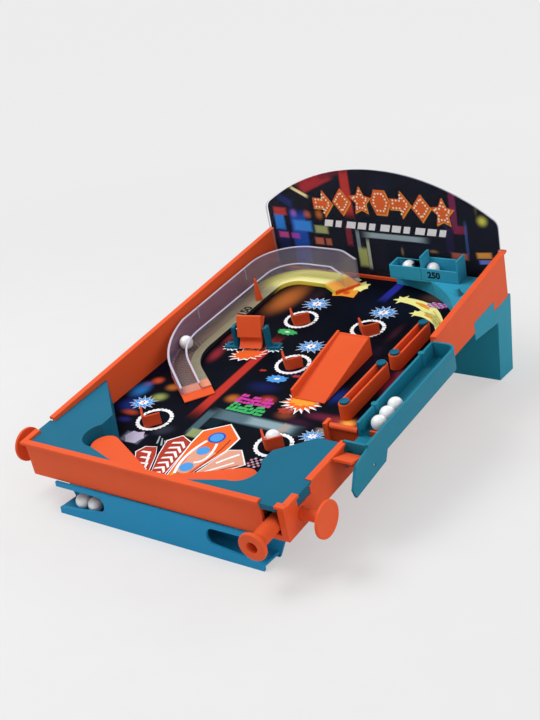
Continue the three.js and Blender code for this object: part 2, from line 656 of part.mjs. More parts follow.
// Ball trough hung on the low part of the right wall, with the fin that shields the feed lever.
function makeTrough() {
  const innerX = halfInner + fit.seat;
  const outerX = innerX + trough.width;
  const under = -tray.lowRim + fit.seat;
  const floor = under + trough.floor;
  const clearY = tray.lowFrom + fit.seat;
  const clearX = halfOuter + fit.seat;
  const rearY = lowTo - fit.seat;
  const floorOutline = [
    [clearX, trough.frontWallY], [outerX, trough.frontWallY], [outerX, rearY - trough.endRadius],
    ...arc(
      outerX - trough.endRadius, rearY - trough.endRadius, trough.endRadius,
      0, rightAngle, facets.cornerSteps,
    ).slice(1),
    [innerX, rearY], [innerX, clearY], [clearX, clearY],
  ];
  const outerPath = rounded([
    [outerX, trough.frontWallY], [outerX, rearY, trough.endRadius], [clearX, rearY],
  ], facets.cornerSteps);
  const fin = [
    [trough.frontWallY, -trough.finTop],
    [trough.finNoseY, -trough.finNoseZ], [trough.finFrontY, -trough.finFrontZ],
    [trough.finFootY, -trough.finFootZ], [trough.finHeelY, -trough.finHeelZ],
    [trough.finRearY, under - trough.outerDrop], [trough.finRearY, trough.outerRise],
    [trough.frontWallY, trough.outerRise],
  ];
  const lugs = troughLugShares.map((share) => post(
    innerX + trough.wall / 2, trough.innerFrom + share * (rearY - trough.innerFrom),
    under, trough.top + trough.lugRise, trough.lugRadius,
  ));
  const body = join(
    plan(floorOutline, under, floor),
    wall(outerPath, 0, trough.wall, under - trough.outerDrop, trough.outerRise),
    profile(fin, outerX - trough.wall, outerX),
    block(innerX, innerX + trough.wall, trough.innerFrom, rearY, under, trough.top),
    block(clearX, outerX, trough.frontWallY, trough.frontWallY + trough.wall, under, trough.top),
    block(
      clearX, clearX + trough.wall, trough.innerFrom + trough.hookLead, rearY - trough.hookShort,
      under - trough.hookDrop, floor,
    ),
    block(
      clearX, clearX + trough.wall, trough.earFrom, trough.earTo, -trough.earFoot, under + trough.floor / 2,
    ),
    ...lugs,
  );
  const lipSlot = block(
    clearX + trough.slotInset - fit.running, outerX - trough.slotInset + fit.running,
    lever.lipY - trough.slotLead, lever.lipY + lever.lipThick + trough.slotBehind,
    under - fit.overrun, floor + fit.overrun,
  );
  const leverHole = bar(
    clearX - fit.overrun, outerX + fit.overrun,
    lever.pivotY, -lever.pivotZ, lever.pinRadius + fit.seat, facets.small,
  );
  const gateHole = bar(
    innerX - fit.overrun, innerX + trough.wall + fit.overrun,
    gate.y, -gate.z, gate.pinRadius + fit.seat, facets.small,
  );
  return toGeometry(cut(body, lipSlot, leverHole, gateHole));
}

// Feed lever about its pivot: thumb tab in front, arm under the trough floor and lip up through its slot.
function makeLever() {
  const left = halfOuter + fit.seat + trough.wall + lever.sideGap;
  const right = halfInner + fit.seat + trough.width - trough.wall - lever.sideGap;
  const middle = (left + right) / 2;
  const at = (y, z) => [y - lever.pivotY, z + lever.pivotZ];
  const t = lever.thick;
  const tab = profile([
    at(lever.tabFront, -lever.tabFrontZ - t), at(lever.tabRear, -lever.tabRearZ - t),
    at(lever.tabRear, -lever.tabRearZ), at(lever.tabFront, -lever.tabFrontZ),
  ], left, right);
  const under = -tray.lowRim + fit.seat;
  const neck = profile([
    at(lever.tabRear - t, -lever.tabRearZ - t / 2), at(lever.tabRear, -lever.tabRearZ - t / 2),
    at(trough.frontWallY - t, under - t), [0, t], [0, -t / 2], at(trough.frontWallY - 2 * t, under - 2 * t),
  ], middle - lever.neckHalf, middle + lever.neckHalf);
  const barrel = bar(left, right, 0, 0, lever.barrel);
  const lipX = halfOuter + fit.seat + trough.slotInset;
  const lipEnd = halfInner + fit.seat + trough.width - trough.slotInset;
  const armEnd = lever.lipY + lever.lipThick - lever.pivotY;
  const arm = block(middle - lever.armHalf, middle + lever.armHalf, 0, armEnd, -t / 2, t / 2);
  const lip = block(
    lipX + fit.running, lipEnd - fit.running, lever.lipY - lever.pivotY, armEnd,
    -t / 2, lever.pivotZ - lever.lipTop,
  );
  const bore = bar(
    left - fit.overrun, right + fit.overrun, 0, 0, lever.pinRadius + fit.running, facets.small,
  );
  return toGeometry(cut(join(tab, neck, barrel, arm, lip), bore));
}

function makeLeverPin() {
  const start = halfOuter + 2 * fit.seat;
  const end = halfInner + trough.width;
  return toGeometry(bar(start, end, 0, 0, lever.pinRadius, facets.small));
}

// Lane divider: a long loop of wall, round at both ends.
function dividerPath(x, y0, y1) {
  const r = (divider.width - divider.wall) / 2;
  return [
    ...arc(x, y1, r, 0, 2 * rightAngle, facets.small),
    ...arc(x, y0, r, 2 * rightAngle, 4 * rightAngle, facets.small),
  ];
}

function dividerEnds([xShare, fromShare, toShare]) {
  return [shareX(xShare), shareY(fromShare), shareY(toShare)];
}

function makeDivider(shares) {
  const [x, y0, y1] = dividerEnds(shares);
  const half = divider.wall / 2;
  return toGeometry(wall(dividerPath(x, y0, y1), -half, half, seat, seat + divider.height, true));
}

function makeDividerPeg(x, y) {
  const top = seat + divider.height + fit.seat;
  return toGeometry(join(
    post(x, y, top, top + divider.pegHead, divider.pegRadius),
    post(x, y, seat, top + divider.pegHead / 2, divider.shaftRadius, undefined, facets.small),
  ));
}

// Long straight ramp: sloping deck, closed right side and a rail on the left.
function makeLongRamp() {
  const x0 = shareX(longRampShares[0]) - longRamp.width / 2;
  const x1 = x0 + longRamp.width;
  const y0 = shareY(longRampShares[1]);
  const y1 = y0 + longRamp.length;
  const top = seat + longRamp.rise;
  const deck = profile([
    [y0, seat], [y0 + 2 * longRamp.deck, seat], [y1, top - longRamp.deck], [y1, top],
    [y0, seat + longRamp.nose],
  ], x0, x1);
  const closed = profile([
    [y0, seat], [y1, seat], [y1, top], [y0, seat + longRamp.nose],
  ], x1 - longRamp.side, x1);
  const rail = profile([
    [y0, seat], [y1, seat], [y1, top + longRamp.railRear], [y0, seat + longRamp.railFront],
  ], x0, x0 + longRamp.rail);
  const back = block(x0, x1, y1 - longRamp.side, y1, seat, top);
  return toGeometry(join(deck, closed, rail, back));
}

// Score pocket: a rounded V open to the rear, with a raised horn at its left end.
function makePocket([xShare, yShare]) {
  const x = shareX(xShare);
  const y = shareY(yShare);
  const path = rounded([
    [x - pocket.halfWidth, y], [x, y - pocket.depth, pocket.tipRadius], [x + pocket.halfWidth, y],
  ], facets.cornerSteps);
  const low = wall(path, 0, pocket.wall, seat, seat + pocket.height);
  const run = new THREE.Vector2(pocket.halfWidth, -pocket.depth).setLength(pocket.hornRun);
  const [end] = path;
  const hornTop = ([px]) => seat + (px === end[0] ? pocket.hornHeight : pocket.height);
  const horn = wall([end, [end[0] + run.x, end[1] + run.y]], 0, pocket.wall, seat, hornTop);
  return toGeometry(join(low, horn));
}

// Spinner flap about its axle: an upper panel that leans to the rear, with a cheek at each side, and a
// lower panel behind its lip whose foot points to the front.
function makeFlap() {
  const half = spinner.thick / 2;
  const panel = (sideLine, width) => profile([
    ...sideLine.map(([y, z]) => [y - half, z]), ...sideLine.map(([y, z]) => [y + half, z]).reverse(),
  ], -width, width);
  const top = [spinner.topY, spinner.topZ];
  const lip = [spinner.lipY, spinner.lipZ];
  const upper = panel([top, lip], spinner.flapHalf);
  const lower = panel([
    [0, 0], [spinner.lowY, spinner.lipZ], [spinner.bendY, spinner.bendZ], [spinner.footY, spinner.footZ],
  ], spinner.lowHalf);
  const rear = [spinner.topY + spinner.cheekBack, spinner.topZ - spinner.cheekDrop];
  const cheek = profile([top, lip, rear], spinner.flapHalf - spinner.cheekThick, spinner.flapHalf);
  const otherCheek = profile([top, lip, rear], -spinner.flapHalf, spinner.cheekThick - spinner.flapHalf);
  const barrel = bar(-spinner.flapHalf, spinner.flapHalf, 0, 0, spinner.barrel);
  const bore = bar(
    -spinner.flapHalf - fit.overrun, spinner.flapHalf + fit.overrun,
    0, 0, spinner.axleRadius + fit.seat, facets.small,
  );
  return toGeometry(cut(join(upper, lower, cheek, otherCheek, barrel), bore));
}

function makeSpinnerAxle() {
  const reach = spinner.flapHalf + spinner.postGap + spinner.postThick / 2 + fit.overrun;
  return toGeometry(bar(-reach, reach, 0, 0, spinner.axleRadius, facets.small));
}

// Spinner bracket for the right-hand side, about the axle.
function makeSpinnerBracket() {
  const x0 = spinner.flapHalf + spinner.postGap;
  const x1 = x0 + spinner.postThick;
  const down = seat + spinner.axleZ;
  const half = spinner.postWidth / 2;
  const cheek = block(x0, x1, -half, half, down, spinner.postOver);
  const pad = spinner.footPad / 2;
  const footX = x1 + pad;
  const footTop = down + spinner.footThick;
  const footing = join(
    block(x0, footX + pad, -pad, pad, down, footTop),
    post(footX, 0, down + spinner.footThick / 2, footTop + spinner.footPinRise, spinner.footPin),
  );
  const hole = bar(x0 - fit.overrun, x1 + fit.overrun, 0, 0, spinner.axleRadius + fit.seat, facets.small);
  return toGeometry(cut(join(cheek, footing), hole));
}

// Curved side ramp: the middle line of its ball lane, from the entry to the exit at the rear.
function lanePath() {
  const laneY = fieldRear - ramp.rearGap - ramp.clearWall - ramp.lane / 2;
  return rounded([
    [shareX(rampEntryShares[0]), shareY(rampEntryShares[1])],
    [laneX, shareY(rampKneeShare), ramp.entryRadius],
    [laneX, laneY, ramp.cornerRadius],
    [shareX(rampExitShares[0]), laneY, ramp.exitRadius],
    [shareX(rampExitShares[1]), shareY(rampExitShares[2])],
  ], facets.small);
}

// Where a path that runs to the rear first crosses a distance y.
function pointAt(path, y) {
  const next = path.findIndex((point) => point[1] > y);
  const [a, b] = [path[next - 1], path[next]];
  const part = (y - a[1]) / (b[1] - a[1]);
  return [a[0] + (b[0] - a[0]) * part, y];
}

const rampFloor = seat + ramp.base;
const laneHalf = ramp.lane / 2;
const laneX = -(halfInner - ramp.sideGap - ramp.clearWall - laneHalf);
const stripInner = -laneHalf - ramp.railWall - ramp.stripWidth - fit.seat;
const stripX = laneX - stripInner;

function makeRampBase() {
  const path = lanePath();
  const [first, second] = path;
  const back = new THREE.Vector2(first[0] - second[0], first[1] - second[1]).setLength(ramp.lip);
  const nose = [first[0] + back.x, first[1] + back.y];
  const slope = ([x]) => (x === nose[0] ? seat + ramp.lipNose : rampFloor);
  const outer = laneHalf + ramp.clearWall;
  return toGeometry(wall([nose, ...path], stripInner, outer, seat, slope));
}

// Clear outer wall and inner rail, joined by a thin clear floor.
function makeClearRamp() {
  const path = lanePath();
  const floor = rampFloor + fit.seat;
  const grow = ([, y]) => {
    const part = THREE.MathUtils.clamp((y - path[0][1]) / ramp.riseRun, 0, 1);
    return floor + ramp.wallEntry + (ramp.wallFull - ramp.wallEntry) * part;
  };
  const railGrow = (point) => Math.min(grow(point), floor + ramp.railHeight);
  return toGeometry(join(
    wall(path, laneHalf, laneHalf + ramp.clearWall, floor, grow),
    wall(path, -laneHalf - ramp.railWall, -laneHalf, floor, railGrow),
    wall(path, -laneHalf - fit.overrun / 2, laneHalf + fit.overrun / 2, floor, floor + ramp.stripThick),
  ));
}

function makeRampStrip() {
  const low = rampFloor + fit.seat;
  const outer = -laneHalf - ramp.railWall - fit.seat;
  return toGeometry(wall(lanePath(), stripInner, outer, low, low + ramp.stripThick));
}

function makeRampPost() {
  const x = laneX + laneHalf + ramp.railWall + fit.seat + ramp.stripWidth / 2;
  const low = rampFloor + 2 * fit.seat + ramp.stripThick;
  const top = low + ramp.postHeight;
  return toGeometry(post(x, shareY(rampPostShare), low, top, ramp.postRadius, ramp.postTip));
}

// Rear corner guide: curved wall that turns the ball, with the deck behind it.
const guideX = halfInner - guide.sideGap - guide.radius;
const guideY = fieldRear - guide.rearGap - guide.radius;
const cupLeft = guideX + cup.beside;
const cupSplit = cupLeft + cup.leftWidth;
const cupRight = cupSplit + cup.rightWidth;
const deckLow = seat + guide.wallHeight;
const deckTop = deckLow + guide.deck;
const cupDepth = 2 * (ball.radius + cup.wall) + cup.play;
const cupFront = fieldRear - fit.seat - cupDepth;

function makeCornerGuide() {
  const bendAt = (radius) => arc(guideX, guideY, radius, guide.fromDegrees, guide.toDegrees, facets.round);
  const bend = bendAt(guide.radius);
  const outerBend = bendAt(guide.radius + guide.wall / 2);
  const rear = fieldRear - fit.seat;
  const leadIn = [edgeX - guide.wall, bend[0][1] - guide.radius / facets.round];
  const corner = [...outerBend, [outerBend.at(-1)[0], rear], [edgeX, rear], [edgeX, outerBend[0][1]]];
  const balcony = block(cupLeft, cupRight, cupFront, rear, deckLow, deckTop);
  return toGeometry(join(
    wall([leadIn, ...bend], -guide.wall, 0, seat, deckLow + guide.deck / 2),
    plan(corner, deckLow, deckTop),
    balcony,
    post(
      edgeX - guide.postIn, fieldRear - guide.postAhead, deckTop - guide.deck / 2,
      deckTop + guide.postHeight, guide.postRadius, guide.postTip,
    ),
    block(edgeX - guide.wall, edgeX, rear - guide.sideGap, rear, seat, deckLow + guide.deck / 2),
  ));
}

// Score cups on the deck: the left one low, the right one with higher walls.
function makeCup(x0, x1, heights) {
  const low = deckTop + fit.seat;
  const y0 = cupFront;
  const y1 = cupFront + cupDepth;
  const w = cup.wall;
  return toGeometry(join(
    block(x0, x1, y0, y1, low, low + cup.floor),
    block(x0, x1, y0, y0 + w, low, low + heights.front),
    block(x0, x1, y1 - w, y1, low, low + heights.back),
    block(x0, x0 + w, y0, y1, low, low + heights.left),
    block(x1 - w, x1, y0, y1, low, low + heights.right),
  ));
}

// Backboard outline, in x and z, drawn in by an inset.
function boardOutline(inset) {
  const low = floorTop + fit.seat + inset;
  const shoulder = rimAt(tray.length) + fit.seat + inset;
  const narrow = edgeX - inset;
  const wide = edgeX + backboard.shoulder - inset;
  const crownRadius = backboard.crown - inset;
  const centreZ = backboard.apex - backboard.crown;
  const edgeZ = centreZ + Math.sqrt(crownRadius ** 2 - wide ** 2);
  const half = Math.asin((wide - backboard.cornerRadius) / (crownRadius - backboard.cornerRadius)) / turn(1);
  const [from, to] = [rightAngle - half, rightAngle + half];
  const cornerZ = centreZ + (crownRadius - backboard.cornerRadius) * Math.cos(turn(half));
  const cornerX = wide - backboard.cornerRadius;
  const top = Math.min(edgeZ, cornerZ);
  return [
    [-narrow, low], [narrow, low], [narrow, shoulder], [wide, shoulder], [wide, top],
    ...arc(cornerX, cornerZ, backboard.cornerRadius, 0, from, facets.small).slice(1),
    ...arc(0, centreZ, crownRadius, from, to, facets.large).slice(1),
    ...arc(-cornerX, cornerZ, backboard.cornerRadius, to, 2 * rightAngle, facets.small).slice(1),
    [-wide, top], [-wide, shoulder], [-narrow, shoulder],
  ].filter(([x, z], i, all) => i === 0 || Math.hypot(x - all[i - 1][0], z - all[i - 1][1]) > fit.seat / 10);
}

// Front foot: two plates with a floor between them, where drained balls gather behind the side pockets.
function makeFoot() {
  const p = foot.plate;
  const gap = fit.seat;
  const roof = (y) => undersideAt(y) - gap;
  const frontTop = roof(foot.frontY);
  const stripLow = frontTop - foot.stripBelow;
  const pocketRadius = (stripLow - foot.lipInner) / 2;
  const pocketZ = foot.lipInner + pocketRadius;
  const pocketX = footHalf - foot.pocketLength;
  const side = (s) => {
    const edge = [
      [footHalf, foot.lipEnd], [pocketX, foot.lipInner],
      ...arc(pocketX, pocketZ, pocketRadius, 3 * rightAngle, rightAngle).slice(1, -1),
      [pocketX, stripLow], [footHalf, stripLow],
    ];
    return edge.map(([x, z]) => [s * x, z]);
  };
  const face = [
    [-footHalf, 0], [footHalf, 0], ...side(1), [footHalf, frontTop],
    [-footHalf, frontTop], ...side(-1).reverse(),
  ];
  const back = [
    [-footHalf, 0], [footHalf, 0],
    [footHalf + foot.topFlare, roof(foot.rearY - p)], [-footHalf - foot.topFlare, roof(foot.rearY - p)],
  ];
  const floorTopLine = [
    [-footHalf, foot.endZ], [-valleyX, foot.valleyZ], [0, foot.crestZ],
    [valleyX, foot.valleyZ], [footHalf, foot.endZ],
  ];
  const floorLine = [...floorTopLine, ...floorTopLine.map(([x, z]) => [x, z - foot.floorThick]).reverse()];
  return toGeometry(join(
    front(face, foot.frontY, foot.frontY + p),
    front(back, foot.rearY - p, foot.rearY),
    front(floorLine, foot.frontY + p / 2, foot.rearY - p / 2),
  ));
}

// Ball height over the foot's sloping floor.
function footBallZ(x) {
  const outside = x > valleyX;
  const run = outside ? footHalf - valleyX : valleyX;
  const rise = (outside ? foot.endZ : foot.crestZ) - foot.valleyZ;
  const up = foot.valleyZ + (rise * Math.abs(x - valleyX)) / run;
  return up + (ball.radius + fit.seat) / Math.cos(Math.atan2(rise, run));
}

// Rear stand: four plates with an arch front and rear, and cheeks that enter the tray's notches.
function makeStand() {
  const p = stand.plate;
  const roof = (y) => undersideAt(y) - fit.seat;
  const archZ = stand.archTop - stand.archRadius;
  const archHalf = halfOuter - stand.leg;
  const inner = archHalf - stand.archRadius;
  const plate = (y) => [
    [-halfOuter, 0], [-archHalf, 0],
    ...arc(-inner, archZ, stand.archRadius, 2 * rightAngle, rightAngle, facets.cornerSteps),
    ...arc(inner, archZ, stand.archRadius, rightAngle, 0, facets.cornerSteps), [archHalf, 0],
    [halfOuter, 0], [halfOuter, roof(y)], [-halfOuter, roof(y)],
  ];
  const cheekTop = underside + tray.standNotchHeight - fit.seat;
  const cheekFrom = standNotchFrom + fit.seat;
  const cheekTo = standNotchTo - fit.seat;
  const low = underside - stand.cheekDrop;
  const cheek = [
    onTable(cheekFrom, cheekTop), onTable(cheekFrom, low),
    [standFront + p, undersideAt(standFront) - stand.cheekRearDrop],
    [standFront + p, roof(standFront)], onTable(cheekTo, underside - fit.seat), onTable(cheekTo, cheekTop),
  ];
  const end = [[standFront, 0], [standRear, 0], [standRear, roof(standRear)], [standFront, roof(standFront)]];
  const inside = halfInner + fit.seat;
  return toGeometry(join(
    front(plate(standFront), standFront, standFront + p),
    front(plate(standRear - p), standRear - p, standRear),
    profile(end, inside, halfOuter),
    profile(end, -halfOuter, -inside),
    profile(cheek, inside, halfOuter),
    profile(cheek, -halfOuter, -inside),
  ));
}

// Materials.
const plastic = (color, roughness = 0.45) => new THREE.MeshStandardMaterial({
  color, roughness, metalness: 0,
});
const orange = () => plastic('#d9552b');
const teal = () => plastic('#17627f');
const troughTeal = () => plastic('#1f6e84');
const footBlue = () => plastic('#1e84b4');
const standTeal = () => plastic('#2487a0');
const cupTeal = () => plastic('#2b7f9e');
const white = () => plastic('#f2f2f0', 0.3);
const printed = () => plastic('#12131f', 0.35);
const steel = () => new THREE.MeshStandardMaterial({ color: '#b9bcc0', roughness: 0.3, metalness: 1 });
const clear = () => new THREE.MeshStandardMaterial({
  color: '#e6ecf0', roughness: 0.08, metalness: 0, transparent: true, opacity: 0.25,
});

// Assembly.
const game = new THREE.Group();
const table = new THREE.Group();
const bed = new THREE.Group();
bed.rotation.x = tilt;
bed.position.z = tray.rimHeight;
table.add(bed);
game.add(table);

function add(group, name, geometry, material, place = [0, 0, 0], turnZ = 0) {
  const mesh = new THREE.Mesh(geometry, material);
  mesh.name = name;
  mesh.position.set(...place);
  mesh.rotation.z = turnZ;
  group.add(mesh);
}

function addBall(group, name, x, y, z) {
  add(group, name, toGeometry(sphere()), white(), [x, y, z]);
}

add(bed, 'tray_frame', toGeometry(makeTray()), orange());
add(bed, 'playfield_board', toGeometry(makeBoard()), printed());
add(bed, 'right_apron', makeApron(true), teal());
add(bed, 'left_apron', mirrorX(makeApron(false)), teal());

const rest = turn(flipper.restDegrees);
for (const side of [-1, 1]) {
  const hand = side < 0 ? 'left' : 'right';
  const handed = (geometry) => (side < 0 ? mirrorX(geometry) : geometry);
  const pivot = [side * pivotX, flipper.fromFront, seat];
  const bladeShape = side < 0 ? makeFlipper() : mirrorX(makeFlipper());
  add(bed, `${hand}_flipper`, bladeShape, orange(), pivot, side * rest);
  add(bed, `${hand}_flipper_pin`, makeFlipperPin(), steel(), [side * pivotX, flipper.fromFront, 0]);
  add(bed, `${hand}_button`, handed(makeButton()), orange());
  add(bed, `${hand}_button_slide`, handed(makeSlide()), orange());
  const springSpan = lugX - button.lugThick - springPostX - 2 * fit.seat;
  const springName = `${hand}_button_spring`;
  const spring = coil(
    springName, button.springRadius, button.springWire, springSpan, button.springCurls,
  );
  const springX = side > 0 ? lugX - button.lugThick - fit.seat : -springPostX - fit.seat;
  const springZ = -button.barTop - button.springWire / 2;
  const springPlace = [springX, buttonY - button.springAhead, springZ];
  add(bed, springName, spring, steel(), springPlace, Math.PI / 2);
}

add(bed, 'firing_knob', makeKnob(), orange());
add(bed, 'firing_rod', makeRod(), orange());
add(bed, 'rod_guide', makeRodGuide(), orange());
const firingSpan = firing.collarFrom - firing.guideTo - 2 * fit.seat;
const firingCoil = coil(
  'firing_spring', firing.springRadius, firing.springWire, firingSpan, firing.springCurls,
);
add(bed, 'firing_spring', firingCoil, steel(), [firingX, firing.guideTo + fit.seat, -firing.axisZ]);
add(bed, 'lane_gate', makeGate(), orange(), [0, gate.y, -gate.z]);
add(bed, 'lane_gate_pin', makeGatePin(), steel(), [0, gate.y, -gate.z]);
add(bed, 'lane_gate_bracket', makeGateBracket(), orange());

add(bed, 'side_trough', makeTrough(), troughTeal());
add(bed, 'feed_lever', makeLever(), orange(), [0, lever.pivotY, -lever.pivotZ]);
add(bed, 'feed_lever_pin', makeLeverPin(), steel(), [0, lever.pivotY, -lever.pivotZ]);

add(bed, 'lane_divider_front', makeDivider(dividerShares[0]), orange());
add(bed, 'lane_divider_rear', makeDivider(dividerShares[1]), orange());
dividerShares.forEach((shares, i) => {
  const [x, y0, y1] = dividerEnds(shares);
  add(bed, `divider_peg_${2 * i + 1}`, makeDividerPeg(x, y0), teal());
  add(bed, `divider_peg_${2 * i + 2}`, makeDividerPeg(x, y1), teal());
});
add(bed, 'long_ramp', makeLongRamp(), orange());
pocketShares.forEach((shares, i) => add(bed, `score_pocket_${i + 1}`, makePocket(shares), orange()));

const mill = new THREE.Group();
mill.position.set(stripX + spinner.besideRamp, shareY(spinnerShare), -spinner.axleZ);
mill.rotation.z = turn(spinner.yawDegrees);
bed.add(mill);
add(mill, 'spinner_flap', makeFlap(), orange());
add(mill, 'spinner_axle', makeSpinnerAxle(), steel());
add(mill, 'spinner_bracket_right', makeSpinnerBracket(), teal());
add(mill, 'spinner_bracket_left', mirrorX(makeSpinnerBracket()), teal());

add(bed, 'ramp_base', makeRampBase(), orange());
add(bed, 'clear_ramp', makeClearRamp(), clear());
add(bed, 'ramp_strip', makeRampStrip(), printed());
add(bed, 'ramp_post', makeRampPost(), orange());

add(bed, 'rear_corner_guide', makeCornerGuide(), teal());
const low = cup.frontHeight;
add(bed, 'score_cup_left', makeCup(cupLeft, cupSplit - fit.seat, {
  front: low, back: low, left: low, right: low,
}), cupTeal());
add(bed, 'score_cup_right', makeCup(cupSplit, cupRight, {
  front: low, back: cup.backHeight, left: cup.splitHeight, right: cup.rightHeight,
}), cupTeal());
add(bed, 'backboard', toGeometry(front(boardOutline(0), sheetFront, sheetRear)), clear());
add(bed, 'backboard_card', toGeometry(front(
  boardOutline(backboard.cardInset), sheetRear + fit.seat, sheetRear + fit.seat + backboard.card,
)), printed());

// Loose balls, where they lie at rest.
const troughX = halfInner + 2 * fit.seat + trough.wall + trough.ballLine;
const troughBallZ = fit.seat - tray.lowRim + trough.floor + ball.radius + fit.seat;
const firstBall = lever.lipY + lever.lipThick + ball.radius;
const ballStep = 2 * ball.radius + fit.seat;
for (let i = 0; i < 3; i++) {
  addBall(bed, `trough_ball_${i + 1}`, troughX, firstBall + i * ballStep, troughBallZ);
}
const rampBallZ = rampFloor + fit.seat + ramp.stripThick + ball.radius + fit.seat;
const rampBallShare = 0.52;
const rampBallPoint = pointAt(lanePath(), shareY(rampBallShare));
addBall(bed, 'ramp_ball', ...rampBallPoint, rampBallZ);
const [heldX, heldY] = [shareX(pocketShares.at(-1)[0]), shareY(pocketShares.at(-1)[1])];
const heldSine = pocket.halfWidth / Math.hypot(pocket.halfWidth, pocket.depth);
const heldAhead = (pocket.wall + fit.seat + ball.radius) / heldSine - pocket.depth;
addBall(bed, 'pocket_ball', heldX, heldY + heldAhead, seat + ball.radius);
const cupBallZ = deckTop + fit.seat + cup.floor + fit.seat + ball.radius;
const cupBallY = cupFront + cupDepth / 2;
const cupMiddle = (cupLeft + cupSplit) / 2;
const cupBallX = cupSplit + cup.wall + ball.radius + fit.seat;
addBall(bed, 'cup_ball_left', cupMiddle, cupBallY, cupBallZ);
addBall(bed, 'cup_ball_right', cupBallX, cupBallY, cupBallZ);

add(table, 'front_foot', makeFoot(), footBlue());
add(table, 'rear_stand', makeStand(), standTeal());
const footBallY = foot.frontY + foot.plate + fit.seat + ball.radius;
const outerBallX = footHalf - foot.outerBallIn;
const innerBallX = footHalf - foot.innerBallIn;
addBall(table, 'foot_ball_outer', -outerBallX, footBallY, footBallZ(outerBallX));
addBall(table, 'foot_ball_inner', -innerBallX, footBallY, footBallZ(innerBallX));

// The origin is the middle of the footprint, on the table.
const bounds = new THREE.Box3().setFromObject(game, true);
const middle = bounds.getCenter(new THREE.Vector3());
table.position.set(-middle.x, -middle.y, -bounds.min.z);

export default game;
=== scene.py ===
import json
import math

import bmesh
import bpy
import numpy as np
from mathutils import Matrix, Vector


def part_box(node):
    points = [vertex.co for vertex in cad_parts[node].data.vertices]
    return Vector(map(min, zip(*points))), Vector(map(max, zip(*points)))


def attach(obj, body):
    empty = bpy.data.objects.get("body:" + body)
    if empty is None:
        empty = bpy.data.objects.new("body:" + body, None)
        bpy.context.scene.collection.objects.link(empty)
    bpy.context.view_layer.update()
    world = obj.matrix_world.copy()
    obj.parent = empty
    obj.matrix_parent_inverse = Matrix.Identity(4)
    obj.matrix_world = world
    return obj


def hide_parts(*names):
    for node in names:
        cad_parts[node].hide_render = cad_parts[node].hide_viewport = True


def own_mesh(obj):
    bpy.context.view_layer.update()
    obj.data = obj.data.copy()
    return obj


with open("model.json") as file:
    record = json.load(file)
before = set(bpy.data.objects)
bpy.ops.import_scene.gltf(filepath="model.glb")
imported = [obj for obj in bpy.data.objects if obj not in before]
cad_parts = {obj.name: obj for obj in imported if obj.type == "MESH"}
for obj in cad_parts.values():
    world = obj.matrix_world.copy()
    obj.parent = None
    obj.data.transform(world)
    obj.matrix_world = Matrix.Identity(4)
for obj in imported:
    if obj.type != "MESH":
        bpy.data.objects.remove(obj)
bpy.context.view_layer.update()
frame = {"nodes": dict(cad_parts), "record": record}        # bodies, nodes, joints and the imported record
print("frame loaded:", len(frame["nodes"]), "nodes")

mm = 0.001
bodies = frame["record"]["behaviour"]["bodies"]
nodeBody = {node: body for body, members in bodies.items() for node in members}
nodeSlot = {part["node"]: part["material_slot"] for part in frame["record"]["subparts"]}

# The tray's own frame is in millimetres: x to the right, y along the floor to the rear, z off the rim.
tray = {"tiltDegrees": 7, "rimHeight": 57.5, "seat": -24.2, "boardTop": -24.5}
tilt = math.radians(tray["tiltDegrees"])
trayOrigin = np.array([0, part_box("tray_frame")[0].y, tray["rimHeight"] * mm])
alongTray = Vector((0, math.cos(tilt), math.sin(tilt)))
turnTray = np.array([[1, 0, 0], [0, math.cos(tilt), math.sin(tilt)], [0, -math.sin(tilt), math.cos(tilt)]])


def fromTray(points):
    # tray millimetres to the row frame: scaled, turned by the tilt about x, then moved to the front rim
    return np.asarray(points, float) * mm @ turnTray + trayOrigin


def inTray(node):
    # the middle of a node's box, in tray millimetres
    low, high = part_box(node)
    return (np.array((low + high) / 2) - trayOrigin) @ turnTray.T / mm


def linear(colour, gain=1.0):
    # sRGB hex to linear light, times a gain
    parts = np.array([int(colour[i:i + 2], 16) for i in (1, 3, 5)]) / 255
    light = np.where(parts <= 0.04045, parts / 12.92, ((parts + 0.055) / 1.055) ** 2.4)
    return (*np.clip(light * gain, 0, 1).tolist(), 1.0)


# Materials
def addNode(tree, kind, settings=None, inputs=None, output=0):
    # adds a node, sets it, fills or links its inputs and gives back one output
    node = tree.nodes.new("ShaderNode" + kind)
    for key, value in (settings or {}).items():
        setattr(node, key, value)
    for key, value in (inputs or {}).items():
        if isinstance(value, bpy.types.NodeSocket):
            tree.links.new(value, node.inputs[key])
        else:
            node.inputs[key].default_value = value
    return node.outputs[output]


def newMaterial(name, **values):
    # a material with its shader's fixed values set on the shader's own sockets
    material = bpy.data.materials.new(name)
    material.use_nodes = True
    tree = material.node_tree
    shader = tree.nodes["Principled BSDF"]
    for key, value in values.items():
        shader.inputs[key].default_value = value
    return material, tree, shader


def mixColours(tree, share, first, second, blend="MIX"):
    settings = {"data_type": "RGBA", "blend_type": blend}
    return addNode(tree, "Mix", settings, {0: share, 6: first, 7: second}, 2)


def mathNode(tree, operation, *values):
    return addNode(tree, "Math", {"operation": operation}, dict(enumerate(values)))


def mapRange(tree, value, source, target=(0, 1), curve="LINEAR"):
    # carries a value from one range to another and holds it at both ends
    ends = dict(enumerate((value, *source, *target)))
    return addNode(tree, "MapRange", {"interpolation_type": curve}, ends)


def noiseNode(tree, place, scale, detail):
    return addNode(tree, "TexNoise", None, {"Vector": place, "Scale": scale, "Detail": detail})


def driveShader(tree, shader, **links):
    for key, value in links.items():
        tree.links.new(value, shader.inputs[key.replace("_", " ")])


